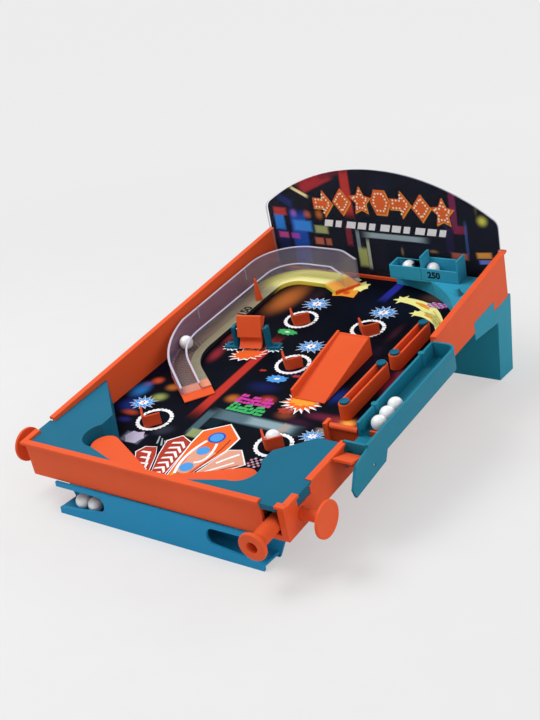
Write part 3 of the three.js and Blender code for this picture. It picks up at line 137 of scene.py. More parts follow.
def mouldedPlastic(name, colour):
    # injection-moulded ABS, satin: faint flow clouds in the colour, uneven gloss, and a fine moulded grain
    # that is drawn at 0.7 mm, coarser than real, so that it shows
    roughness, grain = 0.4, 0.7
    values, tones = {"IOR": 1.53, "Specular IOR Level": 0.08}, (linear(colour, 0.9), linear(colour, 1.1))
    material, tree, shader, tint = tonedSurface(name, values, (16, 3), tones)
    place = addNode(tree, "TexCoord", output=3)
    rub = noiseNode(tree, place, 70, 4)
    gloss = mapRange(tree, rub, (0.3, 0.7), (roughness - 0.05, roughness + 0.06))
    fine = noiseNode(tree, place, 1 / (grain * mm), 1)
    bump = addNode(tree, "Bump", None, {"Strength": 0.12, "Distance": 0.05 * mm, "Height": fine})
    driveShader(tree, shader, Roughness=gloss, Normal=bump)
    return material


def tonedSurface(name, values, noise, tones, gloss=None):
    # a surface whose one noise mixes two tones of its colour and, with a range, drives its roughness
    material, tree, shader = newMaterial(name, **values)
    place = addNode(tree, "TexCoord", output=3)
    cover = noiseNode(tree, place, noise[0], noise[1])
    tint = mixColours(tree, cover, *tones)
    driveShader(tree, shader, Base_Color=tint)
    if gloss:
        rough = mapRange(tree, cover, (0.3, 0.7), gloss)
        driveShader(tree, shader, Roughness=rough)
    return material, tree, shader, tint


def printedInk(name, colour):
    # screen-printed ink under matt film: slightly uneven cover, soft shine
    values = {"IOR": 1.5, "Roughness": 0.5, "Specular IOR Level": 0.05}
    return tonedSurface(name, values, (260, 3), (linear(colour, 0.92), linear(colour, 1.08)))[0]


def trayPlace(tree, centre, size, turnDegrees=0.0, flat="z"):
    # Object coordinates turned into the tray, then scaled so that a patch runs from -1 to 1
    place = addNode(tree, "TexCoord", output=3)
    lie = addNode(tree, "Mapping", {"vector_type": "TEXTURE"}, {
        "Vector": place, "Location": tuple(trayOrigin), "Rotation": (tilt, 0, 0),
    })
    far = 1000.0
    if flat == "z":
        where, turned, scale = (*centre, 0), (0, 0, math.radians(turnDegrees)), (*size, far)
    else:
        where, turned = (centre[0], 0, centre[1]), (0, -math.radians(turnDegrees), 0)
        scale = (size[0], far, size[1])
    return addNode(tree, "Mapping", {"vector_type": "TEXTURE"}, {
        "Vector": lie, "Location": tuple(v * mm for v in where), "Rotation": turned,
        "Scale": tuple(v * mm for v in scale),
    })


def softPatches(tree, base, patches, flat):
    # blurred lights: each is a round or square patch that fades out from its middle over the base colour
    colour = base
    for x, y, wide, high, turnDegrees, tone, strength, square in patches:
        place = trayPlace(tree, (x, y), (wide, high), turnDegrees, flat)
        if square:
            parts = addNode(tree, "SeparateXYZ", None, {0: addNode(
                tree, "VectorMath", {"operation": "ABSOLUTE"}, {0: place},
            )}).node
            side = parts.outputs[1 if flat == "z" else 2]
            reach = mathNode(tree, "MAXIMUM", parts.outputs[0], side)
        else:
            reach = addNode(tree, "VectorMath", {"operation": "LENGTH"}, {0: place}, 1)
        inner = 0.5 if square else 0.0
        share = mapRange(tree, reach, (inner, 1.0), (strength, 0.0), "SMOOTHERSTEP")
        colour = mixColours(tree, share, colour, linear(tone))
    return colour


def printedSheet(name, ground, patches, flat):
    # offset-printed card under film: dark street lights out of focus, a fine dot in the ink, soft shine
    material, tree, shader = newMaterial(name, **{"IOR": 1.5, "Specular IOR Level": 0.02})
    place = addNode(tree, "TexCoord", output=3)
    haze = noiseNode(tree, place, 22, 2)
    base = mixColours(tree, haze, linear(ground[0]), linear(ground[1]))
    colour = softPatches(tree, base, patches, flat)
    dots = noiseNode(tree, place, 900, 1)
    inked = mixColours(tree, 0.10, colour, dots, "OVERLAY")
    film = noiseNode(tree, place, 60, 3)
    gloss = mapRange(tree, film, (0.3, 0.7), (0.42, 0.56))
    driveShader(tree, shader, Base_Color=inked, Roughness=gloss)
    return material


boardLights = [
    # x, y, half width, half height, turn in degrees, colour, strength, 1 for a square patch
    (-106, 122, 13, 17, 0, "#2a7ccc", 0.95, 0), (-100, 101, 17, 15, 0, "#18307c", 0.9, 0),
    (-100, 138, 9, 8, 0, "#cc5530", 0.9, 0), (-105, 131, 7, 6, 0, "#7a5aa8", 0.75, 0),
    (-80, 133, 10, 8, 0, "#b46c30", 0.9, 0), (-82, 117, 11, 9, 10, "#93a05a", 0.9, 0),
    (-92, 91, 13, 6, 0, "#b84a34", 0.75, 0), (-90, 81, 11, 6, 0, "#2a2f7c", 0.8, 0),
    (-66, 62, 12, 8, 0, "#8a86a4", 0.75, 1), (-48, 78, 14, 10, 30, "#3a3f4c", 0.6, 0),
    (-5, 156, 24, 12, 0, "#141e50", 0.85, 0), (8, 182, 18, 12, 0, "#151f4c", 0.7, 0),
    (-20, 134, 10, 9, 0, "#bc6a30", 0.9, 0), (9, 140, 12, 10, 0, "#b4432c", 0.9, 0),
    (60, 162, 14, 17, 0, "#1a2c78", 0.85, 0), (35, 126, 13, 9, 0, "#84462e", 0.8, 0),
    (50, 120, 20, 9, 0, "#3c1c34", 0.7, 0), (64, 133, 22, 8, 4, "#6a2440", 0.8, 0),
    (86, 131, 24, 13, 0, "#ac4038", 0.9, 0), (88, 131, 10, 9, 0, "#ffb04a", 1.0, 0),
    (80, 156, 10, 26, 0, "#3c1838", 0.7, 0), (93, 194, 10, 30, 0, "#94304a", 0.8, 0),
    (80, 196, 10, 17, 0, "#3c1c3c", 0.7, 0), (58, 216, 10, 36, 0, "#2c1a34", 0.7, 0),
    (17, 111, 48, 8, -1, "#5c7884", 0.85, 1), (31, 111, 26, 5.5, -1, "#93aab2", 0.8, 1),
    (-25, 98, 5, 20, 0, "#4e6a76", 0.75, 1), (-21, 83, 7, 7, 0, "#93a06c", 0.85, 1),
    (-14, 99, 8, 8, 0, "#0c222c", 0.8, 1), (44, 110, 4.5, 8, -8, "#ac988c", 0.75, 1),
    (82, 117, 16, 6, 12, "#a8988c", 0.7, 1), (-36.5, 166, 5.8, 72, 0, "#bc362c", 0.95, 1),
    (-76, 190, 9, 20, 8, "#902c36", 0.85, 0), (-80, 216, 8, 18, 4, "#802c34", 0.75, 0),
    (-69, 291, 21, 42, -6, "#ac602e", 1.0, 0), (-45, 300, 12, 24, 0, "#301c28", 0.7, 0),
    (20, 328, 5.4, 24, -3, "#2c329f", 0.95, 1), (66, 325, 24, 13, 0, "#60403a", 0.7, 0),
    (58, 262, 6, 24, 0, "#3c1a26", 0.7, 0), (-112, 156, 9, 24, 0, "#121638", 0.7, 0),
    (30, 300, 60, 40, 0, "#10182c", 0.5, 0), (88, 90, 14, 10, 0, "#24202c", 0.7, 0),
]
cardLights = [      # the same, with the card's height in place of y
    (-84, 8, 11, 32, 0, "#1f52bc", 0.95, 1), (-105, 22, 7, 10, 0, "#2c86e6", 0.95, 1),
    (-80, 20, 13, 7, 0, "#3f94f0", 0.95, 1), (-104, 0, 9, 16, 0, "#12265c", 0.8, 1),
    (-103, 33, 9, 5, 0, "#c23e3a", 0.9, 1), (-88, 32, 6, 7, 0, "#b070e4", 0.95, 0),
    (-73, 32, 7, 7, 0, "#dc7058", 0.95, 0), (-60, 33, 7, 8, 0, "#e07c30", 0.95, 0),
    (-60, 18, 9, 5, 0, "#aeb878", 0.9, 1), (-64, 6, 6, 4.5, 0, "#cc6c50", 0.9, 1),
    (-54, 6, 4, 4.5, 0, "#c46850", 0.85, 1), (-90, 9, 6, 3.6, 0, "#b04cb8", 0.9, 1),
    (-103, 9, 7, 4, 0, "#c850a4", 0.9, 1), (-84, -18, 12, 14, 0, "#2a64c4", 0.9, 1),
    (-27.5, 57, 6, 28, 0, "#c83a34", 0.95, 1), (-31, 14, 4, 12, 0, "#8c2c38", 0.85, 1),
    (-60, 66, 24, 8, 26, "#bc3038", 0.9, 1), (-78, 54, 12, 2, -26, "#f8ecb0", 1.0, 1),
    (-44, 74, 14, 5, 20, "#7c2434", 0.8, 1), (-96, 45, 12, 5, -30, "#1c2c6c", 0.8, 1),
    (16, 17, 38, 3.4, 0, "#a4bac0", 0.95, 1), (-22, 8, 2.4, 16, 0, "#8ca0a8", 0.85, 1),
    (-19, -6, 6, 12, 0, "#b4bc70", 0.95, 1), (-12.5, -2, 2, 18, 0, "#c4ccb4", 0.85, 1),
    (22, 4, 2.6, 7, 0, "#a08a60", 0.85, 0), (53, 7, 8, 3, 0, "#b8905c", 0.85, 0),
    (8, 66, 16, 16, 0, "#161c34", 0.8, 0), (76, 50, 4, 27, 0, "#7e2c54", 0.9, 1),
    (81, 30, 8, 5, 0, "#8e2c4c", 0.85, 1), (86, 22, 1.8, 20, 0, "#34508c", 0.85, 1),
    (70, 22, 5, 20, 0, "#241c44", 0.8, 1), (102, 40, 8, 8, 0, "#f0f060", 1.0, 0),
    (97, 52, 2.4, 14, 0, "#6c7440", 0.8, 0), (101, 8, 9, 3.6, 6, "#f4a848", 0.95, 1),
    (103, 2, 9, 2.6, 6, "#8090f4", 0.95, 1), (78, 5, 10, 4, 0, "#c86c58", 0.85, 1),
    (0, -8, 10, 14, 0, "#181c38", 0.8, 0), (40, -10, 30, 12, 0, "#14182c", 0.7, 0),
]
orangePlastic = mouldedPlastic("mouldedOrangeAbs", "#e2592e")
# the pockets' darker copy of the orange is partly their own deeper tone and partly painted shade
pocketPlastic = mouldedPlastic("mouldedDeepOrangeAbs", "#c94a28")
tealPlastic = mouldedPlastic("mouldedTealAbs", "#146480")
troughPlastic = mouldedPlastic("mouldedTroughTealAbs", "#1f7a92")
footPlastic = mouldedPlastic("mouldedBlueAbs", "#248cba")
standPlastic = mouldedPlastic("mouldedStandTealAbs", "#268fa8")
cupPlastic = mouldedPlastic("mouldedCupTealAbs", "#36a0c0")
boardPrint = printedSheet("offsetPrintedBoard", ("#05080f", "#0a0e1a"), boardLights, "z")
cardPrint = printedSheet("offsetPrintedCard", ("#070a14", "#10152a"), cardLights, "y")
inkTones = {
    "white": "#f4f4f6", "sky": "#4f9ae0", "blue": "#1f55b8", "red": "#c8322e", "orange": "#e8662a",
    "amber": "#f0a036", "yellow": "#f8f29a", "green": "#3fae62", "magenta": "#c83c9c", "teal": "#2a8ea0",
    "grey": "#9aa4a8", "night": "#141828", "brick": "#a8382a", "gold": "#d8c060", "peach": "#dca088",
    "lilac": "#b9b0c8", "pink": "#cf7d84", "cream": "#fbf0cc",
}
inks = {ink: printedInk(ink + "Ink", tone) for ink, tone in inkTones.items()}


def ballPlastic():
    # turned and polished white nylon: bright, close shine, a little light passes under the skin
    values = {"IOR": 1.53, "Subsurface Weight": 0.15, "Subsurface Scale": 0.002}
    tones, gloss = (linear("#e6e8ea"), linear("#f6f7f8")), (0.16, 0.26)
    return tonedSurface("polishedWhiteNylon", values, (120, 3), tones, gloss)[0]


def drawnSteel(name, colour, roughness):
    # drawn or turned steel: grey metal with fine streaks in its shine
    tones, gloss = (linear(colour, 0.88), linear(colour, 1.08)), (roughness - 0.06, roughness + 0.1)
    return tonedSurface(name, {"Metallic": 1.0}, (420, 2), tones, gloss)[0]


def clearPlastic(name, colour, alpha, edge=None):
    # moulded clear polystyrene: mostly see-through, faint violet grey, sharp highlights; with an edge, the
    # map's u tells wall from floor and its v, in millimetres below the rim, picks out a painted highlight
    # along the rim
    values, tones = {"IOR": 1.59, "Alpha": alpha}, (linear(colour, 0.92), linear(colour, 1.08))
    material, tree, shader, tint = tonedSurface(name, values, (40, 3), tones, (0.05, 0.14))
    if edge:
        parts = addNode(tree, "SeparateXYZ", None, {0: addNode(tree, "UVMap", {"uv_map": "along"})}).node
        outer = mathNode(tree, "GREATER_THAN", parts.outputs[0], edge["wall"])
        cover = mapRange(tree, outer, (0, 1), (edge["floorAlpha"], alpha))
        # rim marks the band along the top rim that is painted paler and more opaque: a painted highlight
        rim = mathNode(tree, "LESS_THAN", parts.outputs[1], edge["depth"])
        driveShader(tree, shader, Base_Color=mixColours(tree, rim, tint, linear(edge["colour"])))
        driveShader(tree, shader, Alpha=mapRange(tree, rim, (0, 1), (cover, edge["alpha"])))
    return material


whiteNylon = ballPlastic()
springSteel = drawnSteel("drawnSpringSteel", "#b4b8bc", 0.3)
pinSteel = drawnSteel("turnedPinSteel", "#a9adb2", 0.26)
# the channel's clear, with a painted highlight along its top rim
clearWall = clearPlastic("clearPolystyrene", "#8883a0", 0.38, {
    "wall": 6.4, "floorAlpha": 0.07, "depth": 0.7, "alpha": 0.8, "colour": "#cfcbe0",
})
clearSheet = clearPlastic("clearPetSheet", "#9a9ea8", 0.02)
# a paler, more opaque clear for the backboard's cut edge and the ramp's ribs: a painted highlight
edgeHighlightClear = clearPlastic("clearPetSheetEdge", "#b9bccb", 0.6)
print("materials made:", len(bpy.data.materials))


# Meshes
def gridFaces(rows, columns, closeRows=False, closeColumns=True):
    # a quad between each pair of neighbouring rows and columns of points
    row = np.arange(rows if closeRows else rows - 1)[:, None]
    column = np.arange(columns if closeColumns else columns - 1)[None, :]
    nextRow, nextColumn = (row + 1) % rows, (column + 1) % columns
    corners = [row * columns + column, row * columns + nextColumn,
               nextRow * columns + nextColumn, nextRow * columns + column]
    return np.stack(np.broadcast_arrays(*corners), -1).reshape(-1, 4).tolist()


def tidyMesh(mesh, angle, merge=1e-7, dissolveDegrees=0.0):
    # merges doubles, joins flat faces, points faces outwards and sets the edges that stay sharp
    work = bmesh.new()
    work.from_mesh(mesh)
    bmesh.ops.remove_doubles(work, verts=work.verts, dist=merge)
    if dissolveDegrees:
        bmesh.ops.dissolve_limit(
            work, angle_limit=math.radians(dissolveDegrees), verts=work.verts, edges=work.edges,
        )
    bmesh.ops.recalc_face_normals(work, faces=work.faces)
    work.to_mesh(mesh)
    work.free()
    mesh.shade_smooth()
    mesh.set_sharp_from_angle(angle=math.radians(angle))


def placePiece(piece, material, body, nodes):
    piece.data.materials.clear()
    piece.data.materials.append(material)
    bpy.context.scene.collection.objects.link(piece)
    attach(piece, body)
    if nodes:
        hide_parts(*nodes)
    return piece


def addPiece(name, points, faces, material, slotName, body="game", nodes=(), angle=35, uv=None):
    # points are in the row frame, in metres
    mesh = bpy.data.meshes.new(name)
    mesh.from_pydata(np.asarray(points).reshape(-1, 3).tolist(), [], faces)
    if uv is not None:
        layer = mesh.uv_layers.new(name="along")
        corner = np.zeros(len(mesh.loops), int)
        mesh.loops.foreach_get("vertex_index", corner)
        layer.data.foreach_set("uv", np.asarray(uv, float)[corner].ravel())
    tidyMesh(mesh, angle)
    return placePiece(bpy.data.objects.new(name, mesh), material, body, nodes)


def addNodePiece(node, ending, points, faces, material, **more):
    # stands for one node of the frame, on that node's body; points are in tray millimetres
    place = fromTray(points)
    return addPiece(node + ending, place, faces, material, nodeSlot[node], nodeBody[node], [node], **more)


def finishEdges(piece, width, angle=32):
    # a soft two-step bevel on every edge sharper than the angle
    bevel = piece.modifiers.new("edges", "BEVEL")
    bevel.width, bevel.segments = width * mm, 2
    bevel.limit_method, bevel.angle_limit = "ANGLE", math.radians(angle)
    bevel.harden_normals = True
    return piece


def dressNode(node, material, bevel, angle=32):
    # a copy of the node's solid with merged points and rounded moulded edges
    mesh = frame["nodes"][node].data.copy()
    mesh.name = node + "_moulding"
    tidyMesh(mesh, angle, 2e-6, 0.4)
    piece = bpy.data.objects.new(node + "_moulding", mesh)
    placePiece(piece, material, nodeBody[node], [node])
    finishEdges(piece, bevel, angle)


def softCorners(points, radii, steps=4):
    # each corner of a line is replaced by a curve that starts and ends one radius away from it:
    # (1 - t)^2 start + 2 t (1 - t) corner + t^2 end
    points = np.asarray(points, float)
    t = np.linspace(0, 1, steps + 1)[:, None]
    line = []
    for i, radius in enumerate(radii):
        here = points[i]
        if radius == 0:
            line.append(here[None])
            continue
        back, ahead = points[i - 1] - here, points[(i + 1) % len(points)] - here
        start = here + back / np.linalg.norm(back) * radius
        end = here + ahead / np.linalg.norm(ahead) * radius
        line.append((1 - t) ** 2 * start + 2 * t * (1 - t) * here + t ** 2 * end)
    return np.concatenate(line)


def carryProfile(path, profile, closed=False):
    # each path point carries a profile of offsets to its left, in the mitre of the path, and heights
    path = np.asarray(path, float)
    into, out = path - np.roll(path, 1, 0), np.roll(path, -1, 0) - path
    if not closed:
        into[0], out[-1] = out[0], into[-1]
    into /= np.linalg.norm(into, axis=1, keepdims=True)
    out /= np.linalg.norm(out, axis=1, keepdims=True)
    along = into + out
    along /= np.linalg.norm(along, axis=1, keepdims=True)
    side = np.stack([-along[:, 1], along[:, 0]], 1) / (along * out).sum(1, keepdims=True)
    profile = np.broadcast_to(profile, (len(path), *np.shape(profile)[-2:]))
    flat = path[:, None, :] + side[:, None, :] * profile[..., :1]
    points = np.concatenate([flat, profile[..., 1:]], -1)
    rows, columns = points.shape[:2]
    faces = gridFaces(rows, columns, closed)
    if not closed:
        faces += [list(range(columns)), list(range((rows - 1) * columns, rows * columns))]
    return points.reshape(-1, 3), faces


def spinProfile(profile, sides, middle, axis):
    # a line of radius and distance, turned about an axis through middle: radius (cos a, sin a) across it
    profile = np.asarray(profile, float)
    axis = np.asarray(axis, float)
    across = np.cross(axis, [0.3, 0.5, 0.81])
    across /= np.linalg.norm(across)
    third = np.cross(axis, across)
    turn = np.linspace(0, 2 * np.pi, sides, endpoint=False)[None, :, None]
    ring = profile[:, :1, None] * (np.cos(turn) * across + np.sin(turn) * third)
    points = np.asarray(middle, float) + ring + profile[:, 1:, None] * axis
    return points.reshape(-1, 3), gridFaces(len(profile), sides)


def wallSection(near, far, low, high, radius=0.45, steps=3):
    # a wall's section with its two top corners rounded; high may be an array, one height for each path point
    high = np.atleast_1d(np.asarray(high, float))
    tall = 1000                                         # far above any wall, moved down to each height
    unit = softCorners([(near, 0), (far, 0), (far, tall), (near, tall)], [0, 0, radius, radius], steps)
    sections = np.repeat(unit[None], len(high), 0)
    top = unit[:, 1] > tall / 2
    sections[:, top, 1] += (high - tall)[:, None]
    sections[:, ~top, 1] = low
    return sections if len(high) > 1 else sections[0]


def arcPoints(middle, radius, start, end, steps):
    angle = np.radians(np.linspace(start, end, steps + 1))
    return np.asarray(middle, float) + radius * np.stack([np.cos(angle), np.sin(angle)], 1)


def roundedPath(corners, steps=14):
    # straight runs joined by true arcs: each corner is x, y and the radius that rounds it
    line = [np.array([corners[0][:2]], float)]
    for before, corner, after in zip(corners, corners[1:], corners[2:]):
        here = np.array(corner[:2], float)
        back, ahead = np.array(before[:2]) - here, np.array(after[:2]) - here
        back, ahead = back / np.linalg.norm(back), ahead / np.linalg.norm(ahead)
        half = math.acos(np.clip(back @ ahead, -1, 1)) / 2
        inwards = (back + ahead) / np.linalg.norm(back + ahead)
        middle = here + inwards * corner[2] / math.sin(half)
        start = here + back * corner[2] / math.tan(half) - middle
        end = here + ahead * corner[2] / math.tan(half) - middle
        first = math.degrees(math.atan2(start[1], start[0]))
        sweep = (math.degrees(math.atan2(end[1], end[0])) - first + 180) % 360 - 180
        line.append(arcPoints(middle, corner[2], first, first + sweep, steps))
    return np.concatenate(line + [np.array([corners[-1][:2]], float)])


# Tray, aprons, trough, feet and the other moulded bodies keep their solids' shapes and get rounded edges.
mouldings = [
    # material, then each node with its edge's width in millimetres
    (orangePlastic, {
        "tray_frame": 0.6, "feed_lever": 0.4, "lane_gate": 0.35, "lane_gate_bracket": 0.3,
        "long_ramp": 0.45, "spinner_flap": 0.4, "ramp_base": 0.3, "left_button_slide": 0.25,
        "right_button_slide": 0.25, "rod_guide": 0.3, "firing_rod": 0.25, "left_flipper": 0.55,
        "right_flipper": 0.55,
    }),
    (tealPlastic, {
        "left_apron": 0.5, "right_apron": 0.5, "spinner_bracket_left": 0.35, "spinner_bracket_right": 0.35,
    }),
    (troughPlastic, {"side_trough": 0.45}),
    # the rear corner guide takes the lighter cup teal in place of the plain teal: painted light on its shaded
    # deck
    (cupPlastic, {"rear_corner_guide": 0.4, "score_cup_left": 0.3, "score_cup_right": 0.3}),
    (footPlastic, {"front_foot": 0.5}),
    (standPlastic, {"rear_stand": 0.5}),
    (boardPrint, {"playfield_board": 0.15}),
    (cardPrint, {"backboard_card": 0.15}),
    (clearSheet, {"backboard": 0.4}),
    (pinSteel, {
        "left_flipper_pin": 0.2, "right_flipper_pin": 0.2, "lane_gate_pin": 0.15, "feed_lever_pin": 0.15,
        "spinner_axle": 0.15,
    }),
]
for material, widths in mouldings:
    for node, width in widths.items():
        dressNode(node, material, width)
# the backboard's cut edge takes the paler, more opaque clear: a painted highlight
sheet = bpy.data.objects["backboard_moulding"].data      # its cut edge catches the light
sheet.materials.append(edgeHighlightClear)
for face in sheet.polygons:
    face.material_index = int(abs(face.normal @ alongTray) < 0.5)
print("mouldings dressed:", sum(len(widths) for material, widths in mouldings))

# Balls: spheres of rings and spokes, with the faint raised seam that a moulded ball keeps.
ballShape = {"radius": 5.98, "seam": 0.03, "seamDegrees": 3, "rings": 26, "sides": 40}


def addBall(node):
    # radius r + seam exp(-(latitude / width)^2), at each latitude
    latitude = np.linspace(-90, 90, ballShape["rings"] + 1)
    bulge = ballShape["seam"] * np.exp(-(latitude / ballShape["seamDegrees"]) ** 2)
    radius = (ballShape["radius"] + bulge - ballShape["seam"]) * mm
    profile = np.stack([radius * np.cos(np.radians(latitude)), radius * np.sin(np.radians(latitude))], 1)
    profile[[0, -1], 0] = 0
    low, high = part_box(node)
    axle = Vector((0.3, 0.5, 0.8)).normalized()
    points, faces = spinProfile(profile, ballShape["sides"], (low + high) / 2, axle)
    addPiece(node + "_turned", points, faces, whiteNylon, nodeSlot[node], nodeBody[node], [node], 60)


ballNodes = [node for node in frame["nodes"] if "_ball" in node]
for node in ballNodes:
    addBall(node)
print("balls made:", len(ballNodes))

# Springs: round wire wound on a helix.
buttonSpring = {"radius": 2.6, "wire": 0.8, "curls": 6, "travel": 5.1}
springs = {
    "firing_spring": {"joint": "firing_rod_pull", "radius": 3.5, "wire": 0.9, "curls": 10, "travel": 14},
    "left_button_spring": {"joint": "left_button_press", **buttonSpring},
    "right_button_spring": {"joint": "right_button_press", **buttonSpring},
}


def addSpring(node, joint, radius, wire, curls, travel):
    # the wire's middle is radius (cos a, sin a) across the axis and rises evenly; its section is a circle
    low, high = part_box(node)
    middle = np.array((low + high) / 2)
    if node == "firing_spring":
        axis = np.array(alongTray)
        length = ((high.y - low.y) / mm - 2 * (radius + wire / 2) * math.sin(tilt)) / math.cos(tilt)
    else:
        axis = np.array([1.0, 0, 0])
        length = (high.x - low.x) / mm
    across = np.cross(axis, [0, 0, 1.0])
    across /= np.linalg.norm(across)
    third = np.cross(axis, across)
    perCurl, sides = 28, 10
    step = np.arange(curls * perCurl + 1)
    angle = 2 * np.pi * step / perCurl
    rise = (length - 1.2 * wire) * (step / step[-1] - 0.5)
    outward = np.cos(angle)[:, None] * across + np.sin(angle)[:, None] * third
    centre = radius * outward + rise[:, None] * axis
    around = np.linspace(0, 2 * np.pi, sides, endpoint=False)
    ring = np.cos(around)[None, :, None] * outward[:, None, :] + np.sin(around)[None, :, None] * axis
    points = middle + (centre[:, None, :] + ring * wire / 2) * mm
    faces = gridFaces(len(step), sides)
    faces += [list(range(sides)), list(range((len(step) - 1) * sides, len(step) * sides))]
    piece = addPiece(node + "_wire", points, faces, springSteel, nodeSlot[node], nodeBody[node], [node], 60)
    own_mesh(piece)


for node, values in springs.items():
    addSpring(node, **values)
print("springs wound:", len(springs))

# Firing knob: a turned bell with a soft lip, a hole in its face and a tube to the rear.
knob = {"face": -22, "bell": 10.8, "lip": 3, "taper": 8, "tube": 6, "rear": 16, "hole": 4.3, "holeDepth": 9,
        "bore": 2.3, "boreDepth": 8, "x": 105.2, "z": -19.5}
face, rear = knob["face"], knob["rear"]
knobLine = softCorners([
    (0, face + knob["holeDepth"]), (knob["hole"], face + knob["holeDepth"]), (knob["hole"], face),
    (knob["bell"], face), (knob["bell"], face + knob["lip"]), (knob["tube"], face + knob["taper"]),
    (knob["tube"], rear), (knob["bore"], rear), (knob["bore"], rear - knob["boreDepth"]),
    (0, rear - knob["boreDepth"]),
], [0, 0.5, 0.9, 1.2, 1.0, 1.6, 0.5, 0.3, 0.2, 0])
points, faces = spinProfile(knobLine, 56, (knob["x"], 0, knob["z"]), (0, 1, 0))
addNodePiece("firing_knob", "_bell", points, faces, orangePlastic)

# Side buttons: a round cap with a raised rim about a dished face, on its stem and spigot.
button = {"face": 138.5, "rim": 13.5, "thick": 2.5, "stem": 4.2, "spigot": 2.2, "wall": 115, "end": 112.7,
          "dish": 0.7, "dishRadius": 11, "y": 20.5, "z": -18.7}
face, back, wall = button["face"], button["face"] - button["thick"], button["wall"]
buttonLine = softCorners([
    (0, face - button["dish"] * 0.5), (button["dishRadius"] - 1, face - button["dish"]),
    (button["dishRadius"] + 0.6, face), (button["rim"], face), (button["rim"], back), (button["stem"], back),
    (button["stem"], wall), (button["spigot"], wall), (button["spigot"], button["end"]), (0, button["end"]),
], [0, 0.8, 0.6, 0.8, 0.5, 0.8, 0.3, 0.2, 0.3, 0])
for side, node in ((-1, "left_button"), (1, "right_button")):
    points, faces = spinProfile(buttonLine, 56, (0, button["y"], button["z"]), (side, 0, 0))
    addNodePiece(node, "_cap", points, faces, orangePlastic)
print("knob and buttons turned")

# Score pockets: a rounded V of wall with a soft top, rising to a horn at the left end.
seat = tray["seat"]
halfInner, trayLength = 115, 354
pocket = {"halfWidth": 10, "depth": 10.5, "tip": 4, "wall": 1.8, "height": 10.2, "horn": 12, "hornRun": 5,
          "shares": [(-0.287, 0.729), (0.313, 0.729), (0.009, 0.5425), (-0.5565, 0.2401), (0.426, 0.2514)]}
pocketPlaces = [(x * halfInner, y * trayLength) for x, y in pocket["shares"]]
for number, (x, y) in enumerate(pocketPlaces, 1):
    path = roundedPath([
        (x - pocket["halfWidth"], y), (x, y - pocket["depth"], pocket["tip"]), (x + pocket["halfWidth"], y),
    ], 10)
    arm = path[1] - path[0]
    early = np.linspace(0, pocket["hornRun"] / np.linalg.norm(arm), 9)[:, None]
    path = np.concatenate([path[0] + arm * early, path[1:]])
    run = np.linalg.norm(path - path[0], axis=1)
    rise = np.clip(1 - run / pocket["hornRun"], 0, 1) ** 1.5
    top = seat + pocket["height"] + (pocket["horn"] - pocket["height"]) * rise
    points, faces = carryProfile(path, wallSection(0, pocket["wall"], seat, top))
    finishEdges(addNodePiece(f"score_pocket_{number}", "_cup", points, faces, pocketPlastic), 0.3, 50)

# Lane dividers: a closed loop of wall, with a domed peg pressed in at each end.
divider = {"width": 10, "wall": 2, "height": 12.7, "peg": 4, "pegHead": 1.6, "shaft": 2.4, "gap": 0.3,
           "shares": [(0.722, 0.392, 0.554), (0.743, 0.602, 0.7415)]}
middleRadius = (divider["width"] - divider["wall"]) / 2
for end, (x, y0, y1) in zip(("front", "rear"), divider["shares"]):
    x, y0, y1 = x * halfInner, y0 * trayLength, y1 * trayLength
    path = [arcPoints((x, y1), middleRadius, 0, 180, 20), arcPoints((x, y0), middleRadius, 180, 360, 20)]
    half = divider["wall"] / 2
    section = wallSection(-half, half, seat, seat + divider["height"], 0.5)
    points, faces = carryProfile(np.concatenate(path), section, closed=True)
    addNodePiece(f"lane_divider_{end}", "_loop", points, faces, orangePlastic)
    first = 1 if end == "front" else 3
    for number, y in ((first, y0), (first + 1, y1)):
        low = seat + divider["height"] + divider["gap"]
        dish, high, peg = low + divider["pegHead"] * 0.7, low + divider["pegHead"], divider["peg"]
        pegLine = softCorners([
            (0, dish), (peg * 0.62, dish), (peg * 0.7, high), (peg, high), (peg, low),
            (divider["shaft"], low), (divider["shaft"], seat), (0, seat),
        ], [0, 0.3, 0.2, 0.5, 0.2, 0.1, 0.3, 0])
        points, faces = spinProfile(pegLine, 36, (x, y, 0), (0, 0, 1))
        addNodePiece(f"divider_peg_{number}", "_cap", points, faces, tealPlastic)
print("pockets and dividers made")

# Side ramp: a clear channel along the lane's path, over a printed lane, with a printed strip beside it.
ramp = {"base": 2.7, "lane": 13.4, "wall": 2, "rail": 1.8, "railHeight": 14.2, "entryHeight": 6,
        "fullHeight": 24, "riseRun": 76, "floor": 0.8, "strip": 8, "gap": 0.3}
lane = roundedPath([(-56, 128), (-102.8, 166.4, 62), (-102.8, 336.4, 34), (-40, 336.4, 16), (-19, 323.6)])
laneRun = np.concatenate([[0], np.cumsum(np.linalg.norm(np.diff(lane, axis=0), axis=1))])
rampFloor = seat + ramp["base"]
clearFloor = rampFloor + ramp["gap"]
rise = np.clip((lane[:, 1] - lane[0, 1]) / ramp["riseRun"], 0, 1)
wallTop = clearFloor + ramp["entryHeight"] + (ramp["fullHeight"] - ramp["entryHeight"]) * rise
railTop = np.minimum(wallTop, clearFloor + ramp["railHeight"])
half = ramp["lane"] / 2
channel = []
for outerTop, innerTop in zip(wallTop, railTop):
    channel.append(softCorners([
        (half + ramp["wall"], clearFloor), (half + ramp["wall"], outerTop), (half, outerTop),
        (half, clearFloor + ramp["floor"]), (-half, clearFloor + ramp["floor"]), (-half, innerTop),
        (-half - ramp["rail"], innerTop), (-half - ramp["rail"], clearFloor),
    ], [0.4, 0.5, 0.5, 0.6, 0.6, 0.5, 0.5, 0.4], 3))
channel = np.array(channel)
points, faces = carryProfile(lane, channel)
rimHeight = np.where(channel[..., 0] > 0, wallTop[:, None], railTop[:, None])
channelMap = np.stack([channel[..., 0], rimHeight - channel[..., 1]], -1).reshape(-1, 2)
